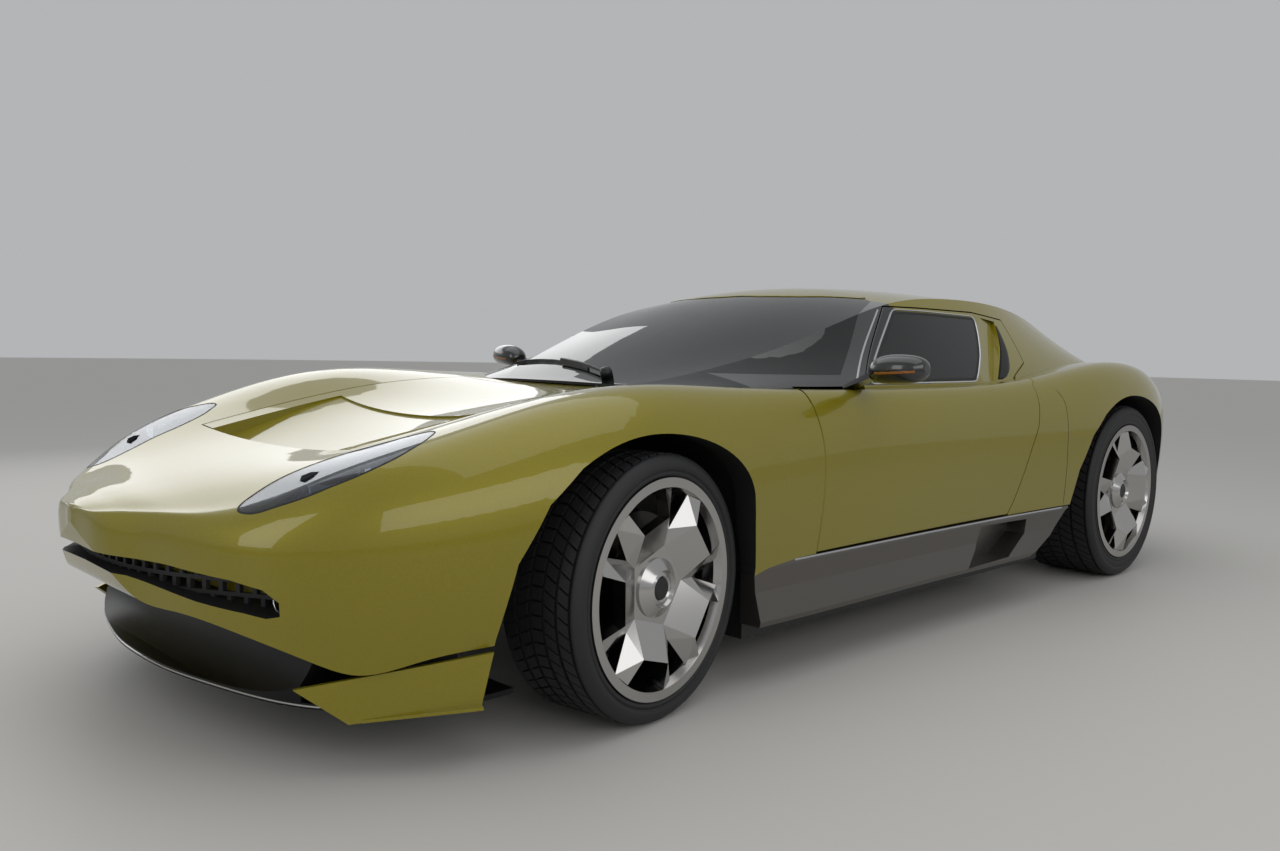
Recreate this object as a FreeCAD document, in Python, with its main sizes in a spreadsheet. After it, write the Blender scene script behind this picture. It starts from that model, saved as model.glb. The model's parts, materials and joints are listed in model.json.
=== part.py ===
# Mid-engined two-seat supercar, in millimetres.
# +X points to the nose, +Y to the car's left side, +Z up. The origin is on the floor under the
# middle of the car. Left and right pieces share one function and are mirrored in the plane Y = 0.
import FreeCAD, Part
import math
import os
from functools import lru_cache
from FreeCAD import Placement, Rotation, Vector

os.makedirs("parts", exist_ok=True)
doc = FreeCAD.newDocument("supercar")

# Driving dimensions: alias, value
DIMENSIONS = [
    ("front_axle_x", 1250), ("rear_axle_x", -1430),
    ("steer_rest_angle", 7.88), ("kingpin_y", 701.5),
    ("front_tyre_radius", 329), ("front_tyre_width", 245),
    ("rear_tyre_radius", 350), ("rear_tyre_width", 320),
    ("front_rim_face_y", 158), ("rear_rim_face_y", 211), ("rear_hub_y", 690),
    ("rim_seat_radius", 256), ("rim_lip_radius", 271.5), ("rim_wall", 12), ("tyre_shoulder", 30),
    ("disc_radius", 180), ("disc_thickness", 20), ("disc_y", 48),
    ("hub_radius", 72), ("stub_radius", 30), ("running_clearance", 0.3), ("spoke_thickness", 34),
    ("nut_radius", 73), ("nut_ring_radius", 46), ("nut_bore", 28), ("front_wheel_turn", 19), ("rear_wheel_turn", -17),
    ("arch_setback", 20), ("front_well_radius", 378), ("front_well_y", 440),
    ("rear_well_radius", 392), ("rear_well_y", 575),
    ("arch_lip_y", 795), ("seat_gap", 0.3), ("shut_gap", 5),
    ("roof_thickness", 38), ("glass_thickness", 8), ("frame_thickness", 38),
    ("lid_thickness", 30), ("bonnet_thickness", 60), ("ledge_width", 22),
    ("cabin_front_x", 620), ("cabin_rear_x", -620), ("cabin_half_width", 700), ("footwell_front_x", 800),
    ("footwell_top_z", 560), ("footwell_half_width", 660),
    ("floor_z", 125), ("floor_thickness", 30), ("floor_front_x", 860), ("floor_rear_x", -880),
    ("floor_half_width", 792), ("tunnel_half_width", 95), ("tunnel_height", 230), ("wall_thickness", 60), ("floor_wall_z", 345),
    ("belt_z", 797), ("door_bottom_z", 340), ("hinge_x", 535), ("hinge_y", 800), ("hinge_radius", 70),
    ("hinge_pin_radius", 8), ("hinge_low_z", 420), ("hinge_high_z", 640), ("hinge_plate", 16), ("hinge_eye_radius", 16),
    ("door_slant", 0.16), ("roof_rear_x", -760), ("bulkhead_rear_x", -860),
    ("pillar_foot_x", 660), ("pillar_rail_z", 835), ("bonnet_front_x", 1820), ("bonnet_rear_x", 890),
    ("bonnet_front_half", 400), ("bonnet_rear_half", 470), ("bonnet_recess_depth", 38),
    ("bonnet_recess_rear_x", 1400), ("bonnet_recess_half", 356), ("bonnet_recess_rear_half", 398),
    ("tub_floor_z", 360), ("tub_front_x", 1790), ("tub_rear_x", 1000), ("tub_half_width", 370),
    ("lid_front_x", -790), ("lid_rear_x", -1930), ("lid_half_width", 385), ("louvre_count", 7),
    ("louvre_pitch", 140), ("louvre_slot", 84),
    ("engine_length", 900), ("engine_width", 560), ("engine_height", 520), ("engine_front_x", -790),
    ("engine_z", 205), ("bay_half_width", 440), ("bay_front_x", -720), ("bay_rear_x", -1960),
    ("tail_panel_depth", 40), ("grille_plate", 10), ("grille_bar", 9),
    ("mouth_depth", 60), ("splitter_z", 148), ("splitter_lip", 12),
    ("winglet_thickness", 12), ("winglet_foot", 32), ("exhaust_radius", 52), ("exhaust_wall", 3), ("exhaust_length", 150),
    ("exhaust_z", 385), ("exhaust_y", 82), ("diffuser_fin", 10), ("pad_height", 10),
    ("column_radius", 24), ("column_length", 190), ("rim_ring_radius", 178),
    ("lamp_recess", 75), ("lamp_cover", 5), ("lamp_low_z", 445), ("duct_radius", 29), ("duct_wall", 4),
    ("duct_length", 60), ("scoop_depth", 30), ("scoop_blade", 5), ("inlet_lip", 7),
    ("sill_top_z", 334), ("rear_body_front_x", -520), ("sill_wall", 8), ("roof_front_x", -118), ("well_flange", 10),
]
sheet = doc.addObject("Spreadsheet::Sheet", "dimensions")
for row, (alias, value) in enumerate(DIMENSIONS, start=1):
    sheet.set("A%d" % row, alias)
    sheet.set("B%d" % row, str(value))
    sheet.setAlias("B%d" % row, alias)
doc.recompute()


class Sizes:
    """Reads a driving dimension by its name."""

    def __getattr__(self, alias):
        return float(sheet.get(alias))


size = Sizes()

# Lower body, one row for each station from nose to tail:
# x, height of the centre line, crown of the wing (y, z), widest point (y, z), lower edge (y, z)
BODY_STATIONS = [
    (2299, 524, 8, 521, 13, 505, 12, 490),
    (2296, 529, 20, 525, 30, 504, 27, 480),
    (2286, 533, 90, 527, 125, 492, 112, 442),
    (2264, 540, 145, 531, 190, 483, 175, 392),
    (2240, 546, 190, 534, 240, 475, 225, 352),
    (2200, 557, 290, 541, 360, 472, 340, 334),
    (2120, 574, 430, 557, 545, 470, 520, 302),
    (2030, 598, 530, 598, 655, 470, 625, 254),
    (1960, 615, 578, 634, 712, 471, 684, 226),
    (1850, 637, 627, 676, 776, 476, 752, 248),
    (1700, 662, 668, 722, 832, 490, 812, 268),
    (1500, 692, 700, 776, 870, 520, 850, 280),
    (1230, 732, 715, 815, 885, 550, 860, 298),
    (900, 776, 735, 808, 868, 560, 845, 309),
    (500, 796, 770, 795, 852, 570, 838, 320),
    (0, 800, 780, 792, 850, 575, 838, 328),
    (-500, 800, 785, 800, 866, 580, 850, 334),
    (-900, 800, 790, 830, 900, 590, 880, 338),
    (-1200, 800, 798, 864, 928, 600, 905, 338),
    (-1430, 800, 800, 877, 940, 605, 915, 335),
    (-1700, 800, 785, 858, 925, 605, 900, 325),
    (-1900, 800, 740, 824, 868, 605, 850, 315),
    (-2100, 795, 655, 800, 775, 605, 765, 310),
    (-2220, 790, 560, 790, 690, 605, 685, 315),
    (-2290, 786, 470, 786, 600, 605, 600, 325),
]
# Cabin above the belt, one row for each station: x, height of the centre line, rail (y, z), base (y, z)
CABIN_STATIONS = [
    (830, 795, 250, 794, 400, 790),
    (790, 808, 340, 804, 500, 793),
    (650, 860, 440, 842, 650, 796),
    (450, 940, 520, 900, 742, 798),
    (150, 1050, 575, 1000, 756, 800),
    (-150, 1126, 585, 1076, 756, 800),
    (-450, 1148, 590, 1100, 752, 800),
    (-750, 1136, 590, 1096, 742, 802),
    (-1050, 1102, 565, 1070, 722, 812),
    (-1350, 1042, 520, 1020, 690, 832),
    (-1650, 966, 465, 954, 645, 840),
    (-1900, 892, 415, 886, 600, 824),
    (-2100, 836, 370, 834, 540, 800),
]
ORIGIN = Vector(0, 0, 0)
UP = Vector(0, 0, 1)


def mirrored(shape):
    """The same piece on the car's right side."""
    return shape.mirror(ORIGIN, Vector(0, 1, 0))


def box(low_x, high_x, low_y, high_y, low_z, high_z):
    return Part.makeBox(high_x - low_x, high_y - low_y, high_z - low_z, Vector(low_x, low_y, low_z))


def polygon(points):
    return Part.Face(Part.makePolygon(points + points[:1]))


def prism_side(outline, low_y, high_y, slant=0):
    """Outline of (x, z) points drawn from the side; going outwards it moves back by the slant."""
    face = polygon([Vector(x + slant * (high_y - low_y) / 2, low_y, z) for x, z in outline])
    return face.extrude(Vector(-slant * (high_y - low_y), high_y - low_y, 0))


def prism_plan(outline, low_z, high_z):
    """Outline of (x, y) points drawn from above."""
    return polygon([Vector(x, y, low_z) for x, y in outline]).extrude(Vector(0, 0, high_z - low_z))


def prism_front(outline, low_x, high_x):
    """Outline of (y, z) points drawn from the front."""
    return polygon([Vector(low_x, y, z) for y, z in outline]).extrude(Vector(high_x - low_x, 0, 0))


def smooth_prism_plan(outline, low_z, high_z):
    """A closed smooth curve through (x, y) points drawn from above."""
    curve = Part.BSplineCurve()
    curve.interpolate(Points=[Vector(x, y, low_z) for x, y in outline], PeriodicFlag=True)
    return Part.Face(Part.Wire(curve.toShape())).extrude(Vector(0, 0, high_z - low_z))


def bezier(points):
    curve = Part.BezierCurve()
    curve.setPoles(points)
    return curve.toShape()


def flip(point):
    return Vector(point.x, -point.y, point.z)


def closed_section(spans, corner=None):
    """Mirror the right half of a section's spans, and close it with straight lines below."""
    edges = [bezier([flip(p) for p in reversed(span)]) for span in reversed(spans)]
    edges += [bezier(span) for span in spans]
    last = spans[-1][-1]
    path = [last] + ([corner, flip(corner)] if corner else []) + [flip(last)]
    edges += [Part.makeLine(a, b) for a, b in zip(path, path[1:])]
    return Part.Wire(edges)


def body_section(station, inset):
    x, centre_z, crown_y, crown_z, wide_y, wide_z, low_y, low_z = station
    top, crown = Vector(x, 0, centre_z - inset), Vector(x, crown_y - inset, crown_z - inset)
    wide, low = Vector(x, wide_y - inset, wide_z), Vector(x, low_y - inset, low_z)
    drop = wide_z - low_z
    return closed_section([
        [top, Vector(x, 0.62 * crown.y, top.z), Vector(x, 0.72 * crown.y, crown.z), crown],
        [crown, crown + Vector(0, 0.58 * (wide.y - crown.y), 0),
         wide + Vector(0, 0, 0.58 * (crown.z - wide_z)), wide],
        [wide, wide - Vector(0, 0, 0.4 * drop), low + Vector(0, 0.6 * (wide.y - low.y), 0.4 * drop), low],
    ])


@lru_cache(maxsize=None)
def body_solid(inset=0):
    """The lower body, or the same form with its skin moved inwards."""
    stations = [row for row in BODY_STATIONS if row[2] > inset + inset / 2 or not inset]
    return Part.makeLoft([body_section(row, inset) for row in stations], True, False)


def cabin_section(station, inset):
    x, centre_z, rail_y, rail_z, base_y, base_z = station
    depth = 140
    top, rail = Vector(x, 0, centre_z - inset), Vector(x, rail_y - inset, rail_z - inset)
    base = Vector(x, base_y - inset, base_z)
    run = base - rail
    return closed_section([
        [top, Vector(x, 0.45 * rail.y, top.z), Vector(x, 0.72 * rail.y, rail.z + 0.42 * (top.z - rail.z)), rail],
        [rail, rail + Vector(0, 0.30 * run.y, 0.22 * run.z), base - Vector(0, 0.2 * run.y, 0.35 * run.z), base],
    ], corner=base - Vector(0, 0, depth))


@lru_cache(maxsize=None)
def cabin_solid(inset=0):
    """The cabin above the belt, let 140 mm down into the lower body."""
    return Part.makeLoft([cabin_section(row, inset) for row in CABIN_STATIONS], True, False)


BODY = body_solid()
CABIN = cabin_solid()
CABIN_INNER = cabin_solid(size.roof_thickness)
SHELL = CABIN.cut(CABIN_INNER)
GLASS = CABIN.cut(cabin_solid(size.glass_thickness))

# Side view outlines as (x, z), read on the car's left side
DOOR_OUTLINE = [
    (size.hinge_x, size.door_bottom_z), (size.hinge_x, size.belt_z), (262, size.belt_z), (-114, 1058),
    (-290, 1058), (-640, 1054), (-866, 1032), (-884, 874), (-775, 832), (-700, 792), (-684, 728),
    (-660, 651), (-612, 567), (-572, 478), (-532, 390), (-500, size.door_bottom_z),
]
WINDOW_OUTLINE = [
    (220, 812), (-120, 1046), (-290, 1044), (-612, 1036), (-582, 980), (-532, 905), (-470, 840), (-440, 812),
]
SCOOP_OUTLINE = [
    (-628, 1042), (-770, 1026), (-716, 930), (-655, 866), (-600, 806), (-452, 806), (-545, 905), (-598, 980),
]
INLET_OUTLINE = [
    (-776, 1024), (-826, 1018), (-800, 940), (-752, 862), (-706, 812), (-612, 812), (-665, 868), (-724, 932),
]
# Front view outline of the mouth as (y, z), left half from the middle outwards and back
MOUTH_HALF = [
    (0, 441), (331, 434), (500, 420), (565, 405), (592, 380), (590, 350), (565, 344), (524, 352), (412, 364),
    (211, 396), (0, 401),
]
MOUTH = MOUTH_HALF + [(-y, z) for y, z in reversed(MOUTH_HALF[1:-1])]
# Middle of the left round duct in the mouth
DUCT_PLACE = (2030, 550, 376)
# Plan view of the mesh panel's front face as (x, y), from the left corner to the right
MESH_LINE = [(1990, 640), (2030, 580), (2094, 470), (2164, 345), (2218, 200), (2240, 0), (2218, -200), (2164, -345),
             (2094, -470), (2030, -580), (1990, -640)]
# Plan view outline of a headlight as (x, y)
LAMP_OUTLINE = [
    (1715, 590), (1755, 638), (1820, 662), (1900, 655), (1980, 618), (2060, 553), (2108, 492), (2108, 462),
    (2050, 432), (1930, 446), (1820, 490), (1750, 540),
]


def plan_band(setback, depth, low_z, high_z):
    """A curved upright wall that follows the nose, its front face set back from the mesh line."""
    edges = []
    for shift in (setback, setback + depth):
        curve = Part.BSplineCurve()
        curve.interpolate([Vector(x - shift, y * (1 + shift * 0.0004), low_z) for x, y in MESH_LINE])
        edges.append(curve.toShape())
    front, rear = edges
    ends = [Part.makeLine(front.valueAt(front.LastParameter), rear.valueAt(rear.LastParameter)),
            Part.makeLine(rear.valueAt(rear.FirstParameter), front.valueAt(front.FirstParameter))]
    wire = Part.Wire(Part.__sortEdges__([front, ends[0], rear, ends[1]]))
    return Part.Face(wire).extrude(Vector(0, 0, high_z - low_z))


def grown(outline, distance):
    """The outline moved outwards all round, as (x, z) points."""
    wire = Part.makePolygon([Vector(x, z, 0) for x, z in outline + outline[:1]])
    offset = wire.makeOffset2D(distance, 2)
    return [(v.Point.x, v.Point.y) for v in offset.OrderedVertexes]


def arch_tool(centre_x, centre_z, scale, low_y, high_y):
    """Wheel arch drawn from the side: tight and upright behind the wheel, raked and open ahead of it."""
    reach = [(-360, -260), (-356, 5), (-334, 114), (-322, 205)]
    rake = [(262, 312), (355, 238), (432, 115), (470, -48), (500, -260)]
    place = lambda p: Vector(centre_x + p[0] * scale, low_y, centre_z + p[1] * scale)
    crown = [bezier([place(p) for p in span]) for span in (
        [(-322, 205), (-292, 318), (-130, 378), (20, 378)], [(20, 378), (120, 378), (196, 348), (262, 312)])]
    lines = [Part.makeLine(place(a), place(b)) for a, b in zip(reach, reach[1:])]
    lines += crown
    lines += [Part.makeLine(place(a), place(b)) for a, b in zip(rake, rake[1:])]
    lines.append(Part.makeLine(place(rake[-1]), place(reach[0])))
    return Part.Face(Part.Wire(Part.__sortEdges__(lines))).extrude(Vector(0, high_y - low_y, 0))


def well_tool(centre_x, centre_z, radius, wall_y, arch_x, scale):
    """Everything cut out of the body for one wheel on the left side."""
    drum = Part.makeCylinder(radius, 1100 - wall_y, Vector(centre_x, wall_y, centre_z), Vector(0, 1, 0))
    below = box(centre_x - radius, centre_x + radius, wall_y, 1100, centre_z - 400, centre_z)
    skirt = arch_tool(arch_x, centre_z, scale, size.arch_lip_y, 1100)
    flange = 1 + size.well_flange / radius
    behind_skirt = arch_tool(arch_x, centre_z, scale * flange, wall_y, size.arch_lip_y)
    inner = drum.fuse(below).common(box(-3000, 3000, 0, size.arch_lip_y, -100, 1500))
    return skirt.fuse([inner, behind_skirt])


FRONT_WELL = well_tool(size.front_axle_x, size.front_tyre_radius, size.front_well_radius, size.front_well_y,
                       size.front_axle_x - size.arch_setback, 1.0)
REAR_WELL = well_tool(size.rear_axle_x, size.rear_tyre_radius, size.rear_well_radius, size.rear_well_y,
                      size.rear_axle_x, 1.045)


def both_sides(shape):
    return [shape, mirrored(shape)]


nodes = []


def add_node(name, shape, placement=None):
    """A sub-part made with Part's own functions."""
    feature = doc.addObject("Part::Feature", name)
    feature.Label = name
    feature.Shape = shape
    if placement:
        feature.Placement = placement
    nodes.append(feature)
    return feature


def single(shape):
    """The largest solid of a result, without the small chips that a cut can leave."""
    return max(shape.Solids, key=lambda solid: solid.Volume)


# Cabin space and wheel wells shared by the body panels
CABIN_SPACE = box(size.cabin_rear_x, size.cabin_front_x, -size.cabin_half_width, size.cabin_half_width, 0, 1300)
FOOT_SPACE = box(0, size.footwell_front_x, -size.footwell_half_width, size.footwell_half_width,
                 0, size.footwell_top_z)
HEADROOM = CABIN_INNER.common(box(size.cabin_rear_x, 900, -900, 900, 600, 1300))


def hinge_drum(radius, low_z, high_z):
    return Part.makeCylinder(radius, high_z - low_z, Vector(size.hinge_x, size.hinge_y, low_z), UP)


def door_space():
    """What the left door takes up in the body, with the shut gap all round."""
    outline = grown(DOOR_OUTLINE, size.shut_gap)
    return prism_side(outline, 450, 1100, size.door_slant)


DOOR_SPACE = door_space()


def bonnet_outline(gap=0):
    front, rear = size.bonnet_front_x + gap, size.bonnet_rear_x - gap
    front_y, rear_y = size.bonnet_front_half + gap, size.bonnet_rear_half + gap
    return [(front, -front_y), (front, front_y), (rear, rear_y), (rear, -rear_y)]


def bonnet_space(gap=0):
    """Prism of the bonnet whose front face leans back downwards, so that it lifts clear."""
    front = size.bonnet_front_x + gap
    lean = prism_side([(front + 120, 1000), (front - 80, 440), (500, 440), (500, 1000)], -900, 900)
    return prism_plan(bonnet_outline(gap + 90), 440, 1000).common(lean).common(
        prism_plan([(front + 300, -size.bonnet_front_half - gap), (front + 300, size.bonnet_front_half + gap),
                    (size.bonnet_rear_x - gap, size.bonnet_rear_half + gap),
                    (size.bonnet_rear_x - gap, -size.bonnet_rear_half - gap)], 440, 1000))


def lid_outline(gap=0):
    half = size.lid_half_width + gap
    front, rear = size.lid_front_x + gap, size.lid_rear_x - 2 * gap
    return [(front, -half), (front, half), (rear, half), (rear, -half)]


def front_body():
    """Nose, wings and scuttle in one moulding, with wheel wells, luggage tub and mouth."""
    shape = BODY.common(box(size.hinge_x + 40, 2400, -1000, 1000, 0, 1200))
    tools = []
    for tool in (FRONT_WELL, hinge_drum(size.hinge_radius + size.shut_gap, 0, 1200),
                 box(size.hinge_x, size.hinge_x + 76, size.cabin_half_width - 20, size.hinge_y + 14, 0, 1200),
                 lamp_column().cut(body_solid(size.lamp_recess))):
        tools += both_sides(tool)
    tools.append(CABIN_SPACE)
    tools.append(FOOT_SPACE)
    tools.append(bonnet_space(size.shut_gap).cut(body_solid(size.bonnet_thickness + size.seat_gap)))
    tools.append(prism_plan([(size.tub_front_x, -size.tub_half_width), (size.tub_front_x, size.tub_half_width),
                             (size.tub_rear_x, size.tub_half_width), (size.tub_rear_x, -size.tub_half_width)],
                            size.tub_floor_z, 1000))
    tools.append(prism_front(MOUTH, 1900, 2400).common(plan_band(-200, 200 + size.mouth_depth, 300, 500)))
    tools += both_sides(duct(size.duct_radius + size.seat_gap, size.duct_length + size.shut_gap))
    shape = single(shape.cut(tools))
    for plate_z in (size.hinge_low_z, size.hinge_high_z):
        for side in (1, -1):
            shape = shape.fuse(hinge_bracket(plate_z, side))
    return shape


def hinge_bracket(plate_z, side):
    """A cranked hinge plate on the pillar, with its upright pin."""
    x, y, thick, half = size.hinge_x, size.hinge_y, size.hinge_plate, size.hinge_eye_radius
    inner = size.cabin_half_width + 3
    plate = box(x - half, x + half, inner, y, plate_z, plate_z + thick)
    foot = box(x - half, size.cabin_front_x + 20, inner, inner + 24, plate_z, plate_z + thick)
    pin = Part.makeCylinder(size.hinge_pin_radius, thick + 50, Vector(x, y, plate_z - 25), UP)
    eye = Part.makeCylinder(half, thick, Vector(x, y, plate_z), UP)
    bracket = plate.fuse([foot, pin, eye])
    return bracket if side > 0 else mirrored(bracket)


def rear_body():
    """Haunches, tail and the sails beside the engine lid in one moulding."""
    lower = BODY.common(box(-2400, size.rear_body_front_x, -1000, 1000, 0, 1200))
    sails = CABIN.common(box(-2400, size.roof_rear_x, -1000, 1000, 700, 1300))
    shape = lower.fuse(sails)
    tools = []
    for tool in (REAR_WELL, DOOR_SPACE):
        tools += both_sides(tool)
    under_lid = cabin_solid(size.lid_thickness + size.ledge_width)
    bay_low = box(size.bay_rear_x, size.bay_front_x, -size.bay_half_width, size.bay_half_width, 0, 790)
    bay_high = under_lid.common(box(size.bay_rear_x + 60, size.bulkhead_rear_x, -size.lid_half_width + 30,
                                   size.lid_half_width - 30, 700, 1300))
    for side in (1, -1):
        tools.append(Part.makeCylinder(size.exhaust_radius + size.seat_gap, 300,
                                       Vector(-2144, side * size.exhaust_y, size.exhaust_z), Vector(-1, 0, 0)))
        tools.append(Part.makeCylinder(42, 160, Vector(size.rear_axle_x, side * 430, size.rear_tyre_radius),
                                       Vector(0, side, 0)))
    tools += [bay_low, bay_high, CABIN_SPACE.common(box(-700, 0, -900, 900, 0, 1300)), HEADROOM]
    tools.append(prism_plan(lid_outline(size.shut_gap), 700, 1300)
                 .cut(cabin_solid(size.lid_thickness + size.seat_gap)))
    tools.append(box(-2400, -2290 + size.tail_panel_depth, -520, 520, 470, 735))
    return single(shape.cut(tools))


SCREEN_HALF = [(-264, 0), (-250, 200), (-205, 380), (-110, 520), (60, 585), (330, 715), (430, 790), (960, 790)]
SCREEN_OUTLINE = SCREEN_HALF + [(x, -y) for x, y in reversed(SCREEN_HALF[1:])]


def screen_space():
    """Plan of the windscreen, kept above the rail that runs along the belt to the scuttle."""
    rail = box(-400, size.pillar_foot_x, -900, 900, 700, size.pillar_rail_z)
    return prism_plan(SCREEN_OUTLINE, 700, 1300).cut(rail)


def roof_frame(low_x, high_x):
    """The stretch of the cabin's structure between two places along the car, without glass and doors."""
    shape = SHELL.common(box(low_x, high_x, -1000, 1000, 700, 1300))
    return shape.cut([screen_space(), BODY] + both_sides(DOOR_SPACE))


def roof():
    """Painted roof skin behind the windscreen."""
    return single(roof_frame(size.roof_rear_x, size.roof_front_x))


def pillars():
    """Black windscreen pillars that come down to the scuttle."""
    shape = roof_frame(size.roof_front_x, 900)
    return Part.makeCompound([solid for solid in shape.Solids if solid.Volume > 50000])


def windscreen():
    """Wrap-around laminated screen, one even thickness."""
    return single(GLASS.common(screen_space()).cut([BODY] + both_sides(DOOR_SPACE)))


def door():
    """Left door: lower panel as thick as the real one, and the frame round its window."""
    outline = prism_side(DOOR_OUTLINE, 450, 1100, size.door_slant)
    drum = hinge_drum(size.hinge_radius, size.door_bottom_z, size.belt_z)
    outside = box(-1000, 1000, size.cabin_half_width, 1100, 0, 1300)
    lower = BODY.common(outline.fuse(drum)).common(outside)
    frame = SHELL.common(outline).common(box(-1000, 262, 400, 1100, size.belt_z - 40, 1300)).cut(lower)
    window = prism_side(WINDOW_OUTLINE, 450, 1100)
    inlet = prism_side(INLET_OUTLINE, 450, 1100).common(
        cabin_solid(size.inlet_lip).cut(cabin_solid(size.frame_thickness - size.inlet_lip)))
    frame = frame.cut([window, scoop_slab(0, 300), inlet])
    shape = lower.fuse(frame)
    for plate_z in (size.hinge_low_z, size.hinge_high_z):
        gap, eye = size.shut_gap, size.hinge_eye_radius
        low, high = plate_z - gap, plate_z + size.hinge_plate + gap
        reach = Part.makeCylinder(105, high - low, Vector(size.hinge_x, size.hinge_y, low), UP)
        shape = shape.cut([
            reach.common(box(size.hinge_x - 2 * eye, 700, 600, size.hinge_y + eye + gap, low, high)),
            hinge_drum(eye + gap, low, high),
            Part.makeCylinder(size.hinge_pin_radius + size.running_clearance, size.hinge_plate + 60,
                              Vector(size.hinge_x, size.hinge_y, plate_z - 30), UP)])
    return single(shape)


def door_glass():
    return GLASS.common(prism_side(WINDOW_OUTLINE, 450, 1100))


def skin_point(x, z, depth=0):
    """The point of the cabin's left skin at this place in the side view, moved inwards by the depth."""
    chord = CABIN.common(Part.makeLine(Vector(x, 300, z), Vector(x, 1100, z)))
    return Vector(x, chord.BoundBox.YMax - depth, z)


def scoop_slab(low, high):
    """A layer of the scoop's hollow, measured outwards from its floor, which dives inwards to the rear."""
    top, foot = skin_point(*SCOOP_OUTLINE[0]), skin_point(*SCOOP_OUTLINE[5])
    rear = skin_point(*SCOOP_OUTLINE[2], size.scoop_depth)
    out = (foot - top).cross(rear - top)
    out.normalize()
    out = out if out.y > 0 else out * -1
    across, along = (foot - top), out.cross(foot - top)
    corners = [rear + across * a + along * b + out * low for a, b in ((-2, -2), (2, -2), (2, 2), (-2, 2))]
    return polygon(corners).extrude(out * (high - low)).common(prism_side(SCOOP_OUTLINE, 450, 1100))


def scoop():
    """Painted vane on the floor of the scoop, ahead of the engine air inlet."""
    return single(scoop_slab(0, size.scoop_blade).common(CABIN).cut(BODY))


def mirror():
    """Door mirror: a pod on an arm that stands on the door's shoulder."""
    rings = [(838, 350, 850, 12, 12), (850, 350, 852, 34, 30), (890, 350, 857, 50, 42), (950, 344, 860, 50, 42),
             (1000, 336, 860, 36, 32), (1014, 332, 860, 14, 13)]
    wires = []
    for y, x, z, half_length, half_height in rings:
        ring = Part.Ellipse(Vector(x, y, z), half_length, half_height)
        ring.Axis = Vector(0, 1, 0)
        wires.append(Part.Wire(ring.toShape()))
    pod = Part.makeLoft(wires, True, False).cut(box(200, 316, 700, 1100, 700, 1000))
    foot = [Vector(285, 740, 790), Vector(375, 740, 790), Vector(368, 765, 812), Vector(285, 765, 812)]
    neck = [Vector(325, 868, 838), Vector(372, 868, 838), Vector(368, 872, 862), Vector(325, 872, 862)]
    arm = Part.makeLoft([Part.makePolygon(ring + ring[:1]) for ring in (foot, neck)], True, True)
    return single(pod.fuse(arm).cut([BODY, CABIN]))


def bonnet():
    """Front lid, sunk below the nose panel at its front edge and rising to the skin further back."""
    skin = BODY.cut(body_solid(size.bonnet_thickness))
    shape = skin.common(bonnet_space())
    front, rear = size.bonnet_front_x, size.bonnet_recess_rear_x
    rows = []
    for x, centre_z, crown_y, crown_z, wide_y, wide_z, low_y, low_z in BODY_STATIONS:
        drop = max(0, min(1, (x - rear) / (front - rear))) * size.bonnet_recess_depth
        rows.append((x, centre_z - drop, crown_y, crown_z - drop, wide_y, wide_z - drop, low_y, low_z - drop))
    floor = Part.makeLoft([body_section(row, 0) for row in rows if 900 < row[0] < 2100], True, False)
    front_half, rear_half = size.bonnet_recess_half, size.bonnet_recess_rear_half
    recess = prism_plan([(front + 20, -front_half), (front + 20, front_half),
                         (rear, rear_half), (rear, -rear_half)], 500, 1000)
    return single(shape.cut(recess.cut(floor)))


def engine_lid():
    """Louvred lid between the sails."""
    skin = CABIN.cut(cabin_solid(size.lid_thickness))
    shape = skin.common(prism_plan(lid_outline(), 700, 1300))
    slots = []
    for index in range(int(size.louvre_count)):
        high_x = size.lid_front_x - 90 - index * size.louvre_pitch
        slots.append(box(high_x - size.louvre_slot, high_x, -size.lid_half_width + 60,
                         size.lid_half_width - 60, 700, 1300))
    return single(shape.cut(slots))


def revolved(profile):
    """Turn (radius, y) points about the wheel's axis, +Y outwards."""
    face = polygon([Vector(radius, y, 0) for radius, y in profile])
    return face.revolve(ORIGIN, Vector(0, 1, 0), 360)


def tyre(radius, width, face_y):
    """Low tyre with a rounded shoulder; the rim flange sits in its side."""
    outer, inner = face_y + 4, face_y + 4 - width
    shoulder, seat, lip = size.tyre_shoulder, size.rim_seat_radius, size.rim_lip_radius
    middle = (outer + inner) / 2

    def side(y, out):
        return [Vector(seat, y - 16 * out, 0), Vector(lip + 1, y - 16 * out, 0), Vector(lip + 14, y - 3 * out, 0),
                Vector(radius - shoulder, y, 0)]
    left, right = side(outer, 1), side(inner, -1)
    crown_left, crown_right = Vector(radius, outer - shoulder, 0), Vector(radius, inner + shoulder, 0)
    bend = shoulder * (1 - math.sqrt(0.5))
    edges = [Part.makeLine(a, b) for a, b in zip(left, left[1:])]
    edges.append(Part.Arc(left[-1], Vector(radius - bend, outer - bend, 0), crown_left).toShape())
    edges.append(Part.makeLine(crown_left, crown_right))
    edges.append(Part.Arc(crown_right, Vector(radius - bend, inner + bend, 0), right[-1]).toShape())
    edges += [Part.makeLine(a, b) for a, b in zip(reversed(right), list(reversed(right))[1:])]
    edges.append(Part.makeLine(right[0], left[0]))
    return Part.Face(Part.Wire(edges)).revolve(ORIGIN, Vector(0, 1, 0), 360)


# Corners of the wheel's folded face on one side of a large window:
# name: radius, angle from the middle of the window, height above the rim's face
WHEEL_CORNERS = {
    "foot": (104, 36, -28), "brow": (179, 16.5, 15), "rim": (246, 17.5, 0), "valley": (243, 27.5, -13),
    "apex": (146, 36, -25),
}
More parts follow.
